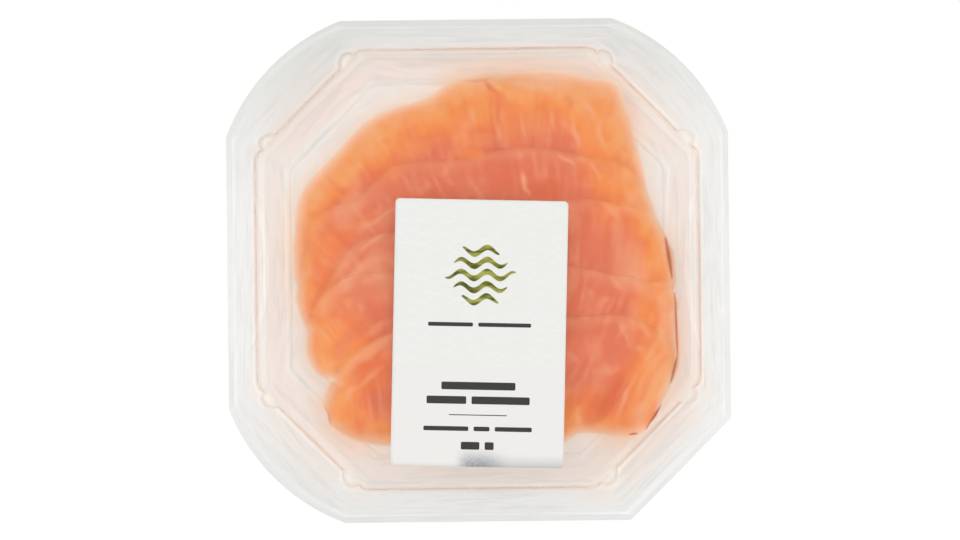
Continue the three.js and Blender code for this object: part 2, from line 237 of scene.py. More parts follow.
def bent_grid(rows_of_points, closed):
    """A grid laid out by bmesh and bent so that its rows run through the given points."""
    rows = len(rows_of_points) - 1
    columns = len(rows_of_points[0]) - 1
    bm = bmesh.new()
    bmesh.ops.create_grid(bm, x_segments=columns, y_segments=rows, size=0.5)
    for vert in bm.verts:
        column = round((vert.co.x + 0.5) * columns)
        row = round((vert.co.y + 0.5) * rows)
        vert.co = rows_of_points[row][column]
    if closed:
        bmesh.ops.remove_doubles(bm, verts=bm.verts, dist=0.001 * mm)
    return bm


def facing_up(bm):
    """Turns an open sheet's faces so that their fronts look up."""
    bmesh.ops.recalc_face_normals(bm, faces=bm.faces)
    if sum(face.normal.z * face.calc_area() for face in bm.faces) < 0:
        bmesh.ops.reverse_faces(bm, faces=bm.faces)


def placed_object(name, data):
    placed = bpy.data.objects.new(name, data)
    bpy.context.scene.collection.objects.link(placed)
    return placed


def mesh_object(name, bm, material):
    mesh = bpy.data.meshes.new(name)
    bm.to_mesh(mesh)
    bm.free()
    mesh.materials.append(material)
    mesh.polygons.foreach_set("use_smooth", [True] * len(mesh.polygons))
    return placed_object(name, mesh)


def finished_object(name, bm, node, material, thickness=None):
    """A piece made from a bmesh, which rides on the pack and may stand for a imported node. An open
    sheet gets its thickness downwards."""
    piece = mesh_object(name, bm, material)
    if thickness:
        sheet = piece.modifiers.new("thickness", "SOLIDIFY")
        sheet.thickness = thickness
        sheet.offset = -1
    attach(piece, "root")
    if node:
        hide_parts(node)
    return piece


def add_node(tree, kind, inputs=None, **settings):
    """A shader node, with its settings. Each input is a value, three numbers for a colour, or
    another node's output."""
    node = tree.nodes.new(kind)
    for name, value in settings.items():
        setattr(node, name, value)
    for key, value in (inputs or {}).items():
        socket = node.inputs[key]
        if isinstance(value, bpy.types.NodeSocket):
            tree.links.new(value, socket)
        elif socket.type == "RGBA":
            socket.default_value = (*value, 1)
        else:
            socket.default_value = value
    return node


def new_material(name):
    material = bpy.data.materials.new(name)
    material.use_nodes = True
    material.node_tree.nodes.clear()
    return material, material.node_tree


def value_of(tree, operation, *operands):
    return add_node(tree, "ShaderNodeMath", dict(enumerate(operands)), operation=operation).outputs[0]


def product(tree, *factors):
    total = factors[0]
    for factor in factors[1:]:
        total = value_of(tree, "MULTIPLY", total, factor)
    return total


def vector_of(tree, operation, *operands):
    inputs = dict(enumerate(operands))
    return add_node(tree, "ShaderNodeVectorMath", inputs, operation=operation).outputs[0]


def smooth_step(tree, value, low, high, start=0.0, end=1.0, easing="SMOOTHSTEP"):
    """Start where the value is low, end where it is high, and an even change between them."""
    inputs = {"Value": value, "From Min": low, "From Max": high, "To Min": start, "To Max": end}
    return add_node(tree, "ShaderNodeMapRange", inputs, interpolation_type=easing).outputs[0]


def noise_at(tree, vector, wavelength, detail=2.0, roughness=0.5):
    """Noise over a place, with a wavelength in the place's own unit."""
    inputs = {"Vector": vector, "Scale": 1 / wavelength, "Detail": detail, "Roughness": roughness}
    return add_node(tree, "ShaderNodeTexNoise", inputs).outputs["Fac"]


def mixed_colour(tree, share, first, second):
    inputs = {0: share, 6: first, 7: second}
    return add_node(tree, "ShaderNodeMix", inputs, data_type="RGBA").outputs[2]


def field(tree, name):
    """What a piece's points hold under a name."""
    return add_node(tree, "ShaderNodeAttribute", attribute_name=name).outputs["Fac"]


def millimetres(tree):
    """Object coordinates in millimetres, so that patterns are given in real sizes."""
    place = add_node(tree, "ShaderNodeTexCoord").outputs["Object"]
    return vector_of(tree, "MULTIPLY", place, (1 / mm, 1 / mm, 1 / mm))


def relief(tree, heights, strength=1.0):
    """The normal of a surface that has all of the heights, each given with its real depth."""
    normal = None
    for height, depth in heights:
        inputs = {"Height": height, "Distance": depth, "Strength": strength}
        bump = add_node(tree, "ShaderNodeBump", inputs)
        if normal:
            tree.links.new(normal, bump.inputs["Normal"])
        normal = bump.outputs["Normal"]
    return normal


def principled(tree, inputs):
    return add_node(tree, "ShaderNodeBsdfPrincipled", inputs).outputs[0]


def show(tree, shader):
    add_node(tree, "ShaderNodeOutputMaterial", {"Surface": shader})


def make_ripple_group():
    """The faint waves that thin plastic keeps after it is drawn or stretched."""
    group = bpy.data.node_groups.new("plastic_ripple", "ShaderNodeTree")
    group.interface.new_socket("Place", in_out="INPUT", socket_type="NodeSocketVector")
    group.interface.new_socket("Wavelength", in_out="INPUT", socket_type="NodeSocketFloat")
    group.interface.new_socket("Height", in_out="OUTPUT", socket_type="NodeSocketFloat")
    given = group.nodes.new("NodeGroupInput").outputs
    scale = value_of(group, "DIVIDE", 1.0, given["Wavelength"])
    waves = {"Vector": given["Place"], "Scale": scale, "Detail": 2.0, "Roughness": 0.4}
    noise = add_node(group, "ShaderNodeTexNoise", waves)
    add_node(group, "NodeGroupOutput", {"Height": noise.outputs["Fac"]})
    return group


plastic_ripple = make_ripple_group()
streaks_along = 9.0  # the higher, the shorter the streaks
streak_widths = {"from_outline": 1.1, "from_mouth": 2.6}  # millimetres
thick_streak = (0.74, 0.745, 0.735)
thick_heights = (0.95, 1.25)  # from where to where in their height the streaks count as thick
ridge_height = 0.12 * mm
ridge_half_width = 1.0  # millimetres, as in the next line
ridge_ends = (20.0, 34.0)  # a ridge fades out this far above and below the pack's middle


def ripple_at(tree, place, wavelength):
    inputs = {"Place": place, "Wavelength": wavelength}
    return add_node(tree, "ShaderNodeGroup", inputs, node_tree=plastic_ripple).outputs["Height"]


def flow_lines(tree, place):
    """Faint streaks that run round the tray, beside its cut edge and beside the well's mouth."""
    from_middle = vector_of(tree, "SUBTRACT", place, (*(well_centre / mm), 0))
    way = vector_of(tree, "NORMALIZE", vector_of(tree, "MULTIPLY", from_middle, (1, 1, 0)))
    heights = []
    for edge, width in streak_widths.items():
        away = add_node(tree, "ShaderNodeCombineXYZ", {2: field(tree, edge)}).outputs[0]
        along = vector_of(tree, "MULTIPLY_ADD", way, (streaks_along, streaks_along, 0), away)
        heights.append(ripple_at(tree, along, width))
    return value_of(tree, "ADD", *heights)


def tension_line(tree, place, line):
    """The height of a low ridge along a stretch of a circle, in the middle of the sheet's length."""
    x, y, radius = line
    flat = vector_of(tree, "MULTIPLY", place, (1, 1, 0))
    reach = add_node(tree, "ShaderNodeVectorMath", {0: flat, 1: (x, y, 0)}, operation="DISTANCE")
    off = value_of(tree, "SUBTRACT", reach.outputs["Value"], radius)
    beside = value_of(tree, "ABSOLUTE", off)
    ridge = smooth_step(tree, beside, 0.0, ridge_half_width, 1.0, 0.0, "LINEAR")
    along = add_node(tree, "ShaderNodeSeparateXYZ", {0: place}).outputs["Y"]
    fading = smooth_step(tree, value_of(tree, "ABSOLUTE", along), *ridge_ends, 1.0, 0.0)
    return product(tree, ridge, fading)


def clear_plastic(
    name, clean, tints_and_painted_light, roughness, ripple_length, ripple_height, flow_height, streaks=0.0, lines=()
):
    """Clear plastic that bends and mirrors light, and lets lamps through to what lies under it.

    Each tint, of a stain or of painted light and shade, is laid on by the amount that the points hold
    under its name. Streaks is how much of a thick streak's own tint shows. Each of the lines is a low
    ridge where a sheet is stretched: the middle and radius of its circle.
    """
    material, tree = new_material(name)
    place = millimetres(tree)
    drawn = flow_lines(tree, place)
    heights = [(ripple_at(tree, place, ripple_length), ripple_height), (drawn, flow_height)]
    heights += [(tension_line(tree, place, line), ridge_height) for line in lines]
    tint = clean
    for tint_name, colour in tints_and_painted_light.items():
        tint = mixed_colour(tree, field(tree, tint_name), tint, colour)
    thicker = smooth_step(tree, drawn, *thick_heights, 0.0, streaks, "LINEAR")
    tint = mixed_colour(tree, thicker, tint, thick_streak)
    glass = principled(tree, {
        "Base Color": tint, "Roughness": roughness, "IOR": 1.5, "Transmission Weight": 1.0,
        "Normal": relief(tree, heights),
    })
    # Light passes the sheet's two faces, so each takes the root of the tint.
    each_face = add_node(tree, "ShaderNodeGamma", {"Color": tint, "Gamma": 0.5}).outputs[0]
    clear = add_node(tree, "ShaderNodeBsdfTransparent", {"Color": each_face}).outputs[0]
    path = add_node(tree, "ShaderNodeLightPath").outputs
    lit = value_of(tree, "MAXIMUM", path["Is Shadow Ray"], path["Is Diffuse Ray"])
    show(tree, add_node(tree, "ShaderNodeMixShader", {0: lit, 1: glass, 2: clear}).outputs[0])
    return material


def vertex_places(piece):
    places = np.zeros(len(piece.data.vertices) * 3)
    piece.data.vertices.foreach_get("co", places)
    return places.reshape(-1, 3)


def point_values(piece, name, values):
    """Stores one number for each point of a piece, which its material reads."""
    stored = piece.data.attributes.new(name, "FLOAT", "POINT").data
    stored.foreach_set("value", values.astype(np.float32))


def eased(value, low, high):
    """0 up to low, 1 from high on, and an even change between them."""
    share = np.clip((value - low) / (high - low), 0, 1)
    return share**2 * (3 - 2 * share)


def line_at(distance, middle, half_width):
    """1 along the middle of a soft line, and nothing beside it."""
    return np.exp(-(((distance - middle) / half_width) ** 2))


def fading_in(past_mouth, reach):
    """1 at the well's mouth and outside it, and less the further inside."""
    return np.exp(np.minimum(past_mouth, 0) / reach)


def unevenness(x, y, wavelength, seed):
    """Smooth random waves of about one wavelength, from -1 to 1 or so."""
    random = np.random.default_rng(seed)
    total = np.zeros(np.broadcast(x, y).shape)
    count = 9
    for _ in range(count):
        turn = random.uniform(0, 2 * math.pi)
        length = wavelength * random.uniform(0.7, 1.5)
        phase = random.uniform(0, 2 * math.pi)
        total += np.sin(2 * math.pi * (x * math.cos(turn) + y * math.sin(turn)) / length + phase)
    return total * math.sqrt(2 / count) / 2


# How much of each tint the plastic takes, from 0 to 1: oil from the fish, and painted light and
# shade. Four values are those of the slanting corners: upper right, upper left, lower left and
# lower right. A pair is where a change starts and where it ends, and a line's pair is its middle
# and half its width.
corner_spread = (math.radians(10), math.radians(26))
side_zone = (60 * mm, 84 * mm)
floor_oil_and_light = 0.62
oil_and_light_fade = 2 * mm
side_oil_and_light_reach = 3.6 * mm
corner_oil_and_light_reach = np.array([7, 5, 7, 8]) * mm
seal_line = (1.1 * mm, 0.45 * mm)  # past the mouth, where the film sticks fast
seal_clean = 0.8
rim_grey = 0.55
head_grey = 0.35
corner_grey = (0.3, 0.5, 0.3, 0.0)
grey_spread = (math.radians(6), math.radians(34))
mouth_gleam = 0.15
corner_gleam = (0.5, 0.0, 0.6, 0.95)
gleam_line = (0.9 * mm, 0.7 * mm)
foot_gleam, right_gleam, most_gleam = 0.5, 0.3, 0.6
corner_seep_and_light = (0.22, 0.15, 0.3, 0.7)
corner_seep_and_light_reach = np.array([4, 5, 7, 8]) * mm
well_seep_and_light = (0.45, 0.2, 0.25, 0.6)
well_seep_and_light_fade = 3 * mm
head_seep_and_light = 0.15
step_seep_and_light = 0.3
step_line = (step_top + 0.2 * mm, 0.35 * mm)
steep_top = (0.9 * mm, 1.5 * mm)  # depths under the land
steep_foot = (2.6 * mm, 3.6 * mm)
bend_lines = [(-1.9 * mm, 0.2), (-3.6 * mm, 0.26)]  # how far past the mouth, and how strong
bend_half_width = 0.5 * mm
bend_away_from_head = 0.6
right_shade_loss, left_shade_loss, foot_shade_loss, lug_shade_loss = 0.4, 0.25, 0.25, 0.75
middle_shade, end_shade, edge_shade = 1.0, 0.65, 0.6
shade_patches = (0.15, 24 * mm)  # how strong they are, and their wavelength
corner_shade = np.array([0.5, 0.9, 0.6, 0.25])
foot_share = 0.16
mouth_shade = 0.14
mouth_shade_sides = 0.7
mouth_shade_fade = 4 * mm
corner_band = (0.0, 0.34, 0.0, 0.0)
band_half_width = 5 * mm


def by_corner(angles, amounts, spread=corner_spread):
    """What each slanting corner has, fading out towards the sides beside it."""
    total = np.zeros(angles.shape)
    for diagonal, amount in zip(diagonals, amounts):
        total += (1 - eased(np.abs(angle_from(angles, diagonal)), *spread)) * amount
    return total


def oil_and_painted_light_on(at):
    """Oil from the fish, with painted warm light from it, clings inside the well, most beside its
    mouth, and creeps out under the film, furthest at the corners."""
    inside = floor_oil_and_light + (1 - floor_oil_and_light) * fading_in(at.past_mouth, oil_and_light_fade)
    oil_and_light_reach = side_oil_and_light_reach + by_corner(at.angles, corner_oil_and_light_reach - side_oil_and_light_reach)
    outside = np.clip(1 - at.past_mouth / oil_and_light_reach, 0, 1) ** 2
    outside *= 1 - seal_clean * line_at(at.past_mouth, *seal_line)
    return np.where(at.past_mouth > 0, outside, inside)


def painted_grey_on(at):
    """Painted shade: the plastic is greyer at its corners, its rim and its head."""
    painted_grey = by_corner(at.angles, corner_grey, grey_spread) * eased(at.past_mouth, 2 * mm, 7 * mm)
    painted_grey += rim_grey * (1 - eased(at.inset, step_foot, step_top))
    painted_grey += head_grey * eased(at.dy, *side_zone) * eased(at.past_mouth, 1 * mm, 4 * mm)
    return np.minimum(painted_grey, 1)


def painted_gleam_on(at):
    """Painted highlights: a light line in the rounded mouth, and lighter land at the foot and on the
    right.
    """
    mouth = mouth_gleam + by_corner(at.angles, corner_gleam)
    sides = foot_gleam * eased(-at.dy, *side_zone) + right_gleam * eased(at.dx, *side_zone)
    land = eased(at.past_mouth, 1.5 * mm, 3 * mm) * eased(at.inset, step_top, step_top + 4 * mm)
    mouth = mouth * line_at(at.past_mouth, *gleam_line)
    return np.maximum(mouth, np.minimum(sides, most_gleam) * land)


def seep_and_painted_light_on(at):
    """Oil that seeps out at the corners of the mouth, stays below it, and gathers at the step, with
    painted warm light from the fish laid on the same places.
    """
    reaches = zip(corner_seep_and_light, corner_seep_and_light_reach)
    beyond = [share * np.clip(1 - at.past_mouth / reach, 0, 1) for share, reach in reaches]
    within = by_corner(at.angles, well_seep_and_light) * fading_in(at.past_mouth, well_seep_and_light_fade)
    seep_and_painted_light = np.where(at.past_mouth > 0, by_corner(at.angles, beyond), within)
    seep_and_painted_light += head_seep_and_light * at.head_side * (at.past_mouth < 0)
    beside_step = line_at(at.inset, *step_line) * eased(np.abs(at.dx), 60 * mm, 85 * mm)
    return seep_and_painted_light + step_seep_and_light * beside_step


def painted_brown_shade_on(at):
    """Painted brown shade on the steep top of the wall and in its bends, and darker brown towards
    the foot.
    """
    steep = eased(at.depth, *steep_top) * (1 - eased(at.depth, *steep_foot))
    steep *= (at.past_mouth > -1.4 * mm) * (at.past_mouth < 4 * mm)
    in_lug = eased(lug_at(at.angles), 0.3 * mm, 1.2 * mm)
    steep *= 1 - lug_shade_loss * in_lug * eased(at.depth, 1.7 * mm, 2.3 * mm)
    steep *= (1 - right_shade_loss * eased(at.dx, *side_zone)
              - left_shade_loss * eased(-at.dx, *side_zone))
    for bend, share in bend_lines:
        line = line_at(at.past_mouth, bend, bend_half_width)
        steep = np.maximum(steep, share * (bend_away_from_head + at.head_side) * line)
    along_side = np.minimum(np.abs(at.dx), np.abs(at.dy))
    patchy = middle_shade + (end_shade - middle_shade) * eased(along_side, 15 * mm, 45 * mm)
    patchy += shade_patches[0] * unevenness(at.x, at.y, shade_patches[1], 3)
    patchy += edge_shade * eased(at.past_mouth, 0.4 * mm, 1.2 * mm)
    patchy -= foot_shade_loss * eased(-at.dy, 70 * mm, 83 * mm)
    corner_shade_share = 1 + by_corner(at.angles, corner_shade - 1)
    toward_foot = eased(-at.dy + 0.35 * at.dx, 35 * mm, 90 * mm) * (at.past_mouth < -2 * mm)
    near = np.maximum(at.head_side, mouth_shade_sides * eased(np.abs(at.dx), 70 * mm, 82 * mm))
    near *= fading_in(at.past_mouth, mouth_shade_fade) * (at.past_mouth < 0)
    painted_brown_shade = np.maximum(steep * patchy * corner_shade_share, np.maximum(foot_share * toward_foot, mouth_shade * near))
    band = np.clip(1 - np.abs(at.past_mouth) / band_half_width, 0, 1)
    return np.maximum(painted_brown_shade * (at.depth > 0.3 * mm), by_corner(at.angles, corner_band) * band)


def painted_lug_highlight_on(at):
    """A painted cream highlight at the bottom of the lugs."""
    bottom = eased(at.depth, 3.8 * mm, 4.2 * mm) * eased(at.past_mouth, -0.9 * mm, 0.3 * mm)
    return bottom * (at.past_mouth < 4 * mm)


def mark_plastic(piece, amounts):
    """Stores each tint's amount at a piece's points, stains and painted light alike, and the
    distances that its streaks follow.
    """
    x, y, z = vertex_places(piece).T
    dx, dy = x - well_centre[0], y - well_centre[1]
    angles, radius = np.arctan2(dy, dx), np.hypot(dx, dy)
    mouth = well_at(angles)
    at = SimpleNamespace(
        x=x, y=y, dx=dx, dy=dy, angles=angles, depth=tray_height - z, past_mouth=radius - mouth,
        inset=outline_at(angles) - radius, head_side=eased(dy - 0.2 * dx, 55 * mm, 80 * mm),
    )
    for tint_name, amount_on in amounts.items():
        point_values(piece, tint_name, amount_on(at))
    point_values(piece, "from_outline", at.inset / mm)
    point_values(piece, "from_mouth", (radius / mouth - 1) * slant / mm)


tray_clean = (0.935, 0.942, 0.943)
# The grey, the brown, the gleam, the glow beside the fish and the cream in the lugs are painted light and
# shade; the oil and the seep are partly oil, partly painted warm light from the fish.
tray_tints_and_painted_light = {
    "painted_grey": (0.785, 0.79, 0.77),
    "oil_and_painted_light": (0.97, 0.895, 0.845),
    "seep_and_painted_light": (1.0, 0.815, 0.705),
    "painted_brown_shade": (0.74, 0.645, 0.555),
    "painted_fish_glow": (0.99, 0.785, 0.65),
    "painted_gleam": (1.0, 0.975, 0.92),
    "painted_lug_highlight": (0.97, 0.92, 0.845),
}
tray_amounts = {
    "painted_grey": painted_grey_on, "oil_and_painted_light": oil_and_painted_light_on, "seep_and_painted_light": seep_and_painted_light_on, "painted_brown_shade": painted_brown_shade_on, "painted_gleam": painted_gleam_on,
    "painted_lug_highlight": painted_lug_highlight_on,
}
tray_plastic = clear_plastic(
    "tray_plastic", tray_clean, tray_tints_and_painted_light, roughness=0.06, ripple_length=14.0,
    ripple_height=0.05 * mm, flow_height=0.02 * mm, streaks=0.28,
)
tray_mesh = bent_grid(tray_rings(around(count=720, crowding=0.6)), closed=True)
facing_up(tray_mesh)
tray = finished_object(
    "clear_tray", tray_mesh, "tray", tray_plastic, plastic_thickness
)
mark_plastic(tray, tray_amounts)

# ---- The slices of fish ----
# Six thin slices of cold-smoked salmon, cut by hand along the side of the fish and laid over each
# other like tiles, from the head of the pack to its foot. Each is given in millimetres, by its
# far edge, which shows, and its near edge, which the next slice covers.
slices = {
    "slice_1": (
        [(-68, -14.5), (-70.7, -1), (-70.9, 11), (-67.8, 30), (-57, 42.8), (-40, 59.2),
         (-19, 66.8), (-9, 72.8), (2, 75), (13, 75.6)],
        [(-54, -17), (-46, 4), (-32, 20), (-12, 26), (15, 26)],
    ),
    "slice_2": (
        [(3.5, 74.8), (18, 75.9), (34, 74.9), (45, 72.9), (52.4, 70.6), (57.5, 60.6), (61.8, 46.2),
         (65, 31), (67, 20)],
        [(9.5, 27), (20, 25), (34, 22), (50, 16), (61, 9)],
    ),
    "slice_3": (
        [(-59, -30), (-66, -22.5), (-69.3, -14), (-69.9, -7), (-67.2, 4), (-64, 18), (-56, 25),
         (-46, 27.5), (-40, 34), (-32, 40.5), (-10, 42.5), (17, 47), (40, 43.6), (57, 39),
         (65.8, 28), (70, 13)],
        [(-52, -40), (-42, -24), (-26, -9), (0, -4), (30, -3), (52, -5), (68, -7)],
    ),
    "slice_4": (
        [(-58, -38), (-60, -22), (-57.5, -4), (-50, 8), (-42, 13.5), (-24, 15.5), (0, 19),
         (24, 25), (42, 27), (55, 24.4), (66.5, 21.5), (72.8, 11), (75.2, 2), (75, -7)],
        [(-45, -44), (-32, -38), (-10, -33), (20, -30), (48, -28), (70, -27)],
    ),
    "slice_5": (
        [(-54, -41.5), (-61.8, -39.3), (-66.2, -31.9), (-66.6, -25.5), (-64.6, -17), (-60, -9),
         (-54.5, -3.6), (-46, -1), (-20, 0.5), (14, 2), (39, 1), (50, -1.8), (58, -2.8),
         (64.5, -5.2), (71.5, -4.5), (75.9, -11), (76.1, -19.4), (76.9, -28.3), (76.2, -37.8),
         (72, -46)],
        [(-51, -45), (-32, -54), (0, -58), (33, -57), (52, -56), (65, -52)],
    ),
    "slice_6": (
        [(-60.2, -50.8), (-57.8, -43.5), (-53, -37.6), (-47, -30), (-40, -25.5), (-30, -21),
         (-8, -18.5), (18, -17.5), (38, -18), (52, -17), (62, -20), (71.5, -27.5), (74.3, -39),
         (69, -52.5)],
        [(-57.1, -58.9), (-48.5, -64.4), (-36, -67), (-10, -66.8), (18, -66.8), (31, -66.6),
         (38.8, -62.8), (44.5, -63.2), (52, -63.9), (58, -63.9), (62.8, -61.8)],
    ),
}
slice_thickness = 2.8 * mm
slice_edge = 0.1 * mm
slice_taper = 12 * mm
slice_wave = 0.18 * mm
slice_wavelength = 17 * mm
coarse_height, coarse_length = 0.10 * mm, 9 * mm
fine_height, fine_length = 0.05 * mm, 4 * mm
relief_crowding = 3.2  # the coarse relief is this much closer along a slice than across it
cut_waver = 0.3 * mm
cut_waver_length = 6 * mm
cut_waver_depth = 3 * mm
cling = 0.3 * mm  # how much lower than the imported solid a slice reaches, to lie on the one below
edge_droop = 7 * mm  # over this width a slice's edge sinks on to what is under it
contact = 0.02 * mm
felt_along, felt_across = (0.02, 0.98), (0.03, 0.97)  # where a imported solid's underside is felt

# Stretches of the dried outer skin, which shows as a dark line at the right-hand edges: both ends
# and the width at the middle, in millimetres.
skin_stretches = [
    ((71.9, 11.6), (74.0, -3.6), 1.2),
    ((75.0, -9.0), (75.8, -33.5), 0.5),
    ((75.7, -34.0), (73.0, -43.5), 0.7),
    ((69.2, -51.8), (63.2, -60.8), 0.9),
    ((59.8, -62.6), (56.6, -63.0), 0.5),
]
skin_end_width = 0.35  # a share of the width at the middle
skin_sharpness = 1.4


def curve_through(points, shares):
    """Points at the given shares of a smooth curve through the points, and the curve's length."""
    p = np.array(points, float)
    p = np.vstack([2 * p[0] - p[1], p, 2 * p[-1] - p[-2]])
    dense = []
    steps_between = 60
    for i in range(1, len(p) - 2):
        blend = p[i - 1:i + 3]
        steps = np.sqrt(np.linalg.norm(np.diff(blend, axis=0), axis=1))
        knots = np.concatenate([[0], np.cumsum(steps)])
        last = i == len(p) - 3
        x = np.linspace(knots[1], knots[2], steps_between, endpoint=last)[:, None]
        for spans in (((0, 1), (1, 2), (2, 3)), ((0, 2), (1, 3)), ((1, 2),)):
            blend = [
                (a * (knots[high] - x) + b * (x - knots[low])) / (knots[high] - knots[low])
                for a, b, (low, high) in zip(blend, blend[1:], spans)
            ]
        dense.append(blend[0])
    line = np.vstack(dense)
    travelled = np.concatenate([[0], np.cumsum(np.linalg.norm(np.diff(line, axis=0), axis=1))])
    at = shares * travelled[-1]
    return np.stack([np.interp(at, travelled, line[:, k]) for k in (0, 1)], axis=1), travelled[-1]


def slice_edges(name, shares):
    """Points at the given shares of a slice's far and near edges, and the far edge's length."""
    (far_line, length), (near_line, _) = (curve_through(edge, shares) for edge in slices[name])
    return far_line * mm, near_line * mm, length * mm


def slice_outline(name):
    far_line, near_line, _ = slice_edges(name, np.linspace(0, 1, 400))
    return np.vstack([far_line, near_line[::-1]])


def crowded_ends(count, crowding=0.13):
    """Shares from 0 to 1 that are closer together at both ends."""
    even = np.linspace(0, 1, count + 1)
    return even - crowding * np.sin(2 * math.pi * even)


along_shares = crowded_ends(240)
across_shares = crowded_ends(96)


def laid_out(far_line, near_line, across):
    return far_line[None] * (1 - across)[:, None, None] + near_line[None] * across[:, None, None]


def blurred(heights, reach):
    """Heights on a grid, averaged over reach cells each way."""
    for axis in (0, 1):
        padding = [(0, 0), (0, 0)]
        padding[axis] = (reach + 1, reach)
        summed = np.cumsum(np.pad(heights, padding, mode="edge"), axis=axis)
        width = 2 * reach + 1
        size = heights.shape[axis]
        upper = np.take(summed, range(width, width + size), axis=axis)
        lower = np.take(summed, range(size), axis=axis)
        heights = (upper - lower) / width
    return heights


def surface_tree(mesh):
    return BVHTree.FromPolygons([v.co for v in mesh.vertices], [p.vertices for p in mesh.polygons])


def first_hits(tree, flat, start, direction, missing):
    """Where a ray up or down from each point of a grid first meets a mesh."""
    heights = np.full(flat.shape[:2], missing)
    way = Vector((0, 0, direction))
    for row, column in np.ndindex(heights.shape):
        hit = tree.ray_cast(Vector((*flat[row, column], start)), way)[0]
        if hit is not None:
            heights[row, column] = hit.z
    return heights


def undersides(node, flat):
    """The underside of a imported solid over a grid, with gaps at the border filled in."""
    tree = surface_tree(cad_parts[node].data)
    heights = first_hits(tree, flat, -10 * mm, 1, np.nan)
    for row, column in zip(*np.nonzero(np.isnan(heights))):
        heights[row, column] = tree.find_nearest(Vector((*flat[row, column], 0)))[0].z
    return heights


def inside_outline(points, outline):
    """Which points lie inside a closed outline, by how often a line from each one crosses it."""
    x, y = points[:, :1], points[:, 1:]
    x0, y0 = outline.T
    x1, y1 = np.roll(outline, -1, axis=0).T
    crosses = (y0 > y) != (y1 > y)
    rise = np.where(y1 == y0, 1, y1 - y0)
    return (crosses & (x < x0 + (y - y0) * (x1 - x0) / rise)).sum(axis=1) % 2 == 1


def distance_to(points, targets):
    batches = np.array_split(points, max(len(points) // 2000, 1))
    gaps = [np.hypot(*(batch[:, None] - targets[None]).transpose(2, 0, 1)) for batch in batches]
    return np.concatenate([gap.min(axis=1) for gap in gaps])


outlines = {name: slice_outline(name) for name in slices}
pile_border = []
for own in outlines:
    covered = np.zeros(len(outlines[own]), bool)
    for other in outlines:
        if other != own:
            covered |= inside_outline(outlines[own], outlines[other])
    pile_border.append(outlines[own][~covered])
pile_border = np.vstack(pile_border)

# A painted warm glow on the tray beside the fish, of the light that comes through its thin
# edges, least on the right.
fish_glow_reach = 8 * mm
fish_glow_falloff = 1.3
right_fish_glow_loss = 0.45
tray_places = vertex_places(tray)
from_fish = distance_to(tray_places[:, :2], pile_border)
fish_glow_share = np.clip(1 - from_fish / fish_glow_reach, 0, 1) ** fish_glow_falloff
fish_glow_share *= 1 - right_fish_glow_loss * eased(tray_places[:, 0], 55 * mm, 75 * mm)
point_values(tray, "painted_fish_glow", fish_glow_share * (tray_places[:, 2] < tray_height - lug_depth))


def skin_share(x, y):
    """How much of the dried skin is at each point: its stretches are thinner at their ends."""
    share = np.zeros(x.shape)
    for (x0, y0), (x1, y1), width in skin_stretches:
        dx, dy = (x1 - x0) * mm, (y1 - y0) * mm
        along = ((x - x0 * mm) * dx + (y - y0 * mm) * dy) / (dx**2 + dy**2)
        nearest = np.clip(along, 0, 1)
        away = np.hypot(x - x0 * mm - nearest * dx, y - y0 * mm - nearest * dy)
        local = width * mm * (skin_end_width + (1 - skin_end_width) * np.sin(math.pi * nearest))
        share = np.maximum(share, np.clip(skin_sharpness * (1 - away / local), 0, 1))
    return share


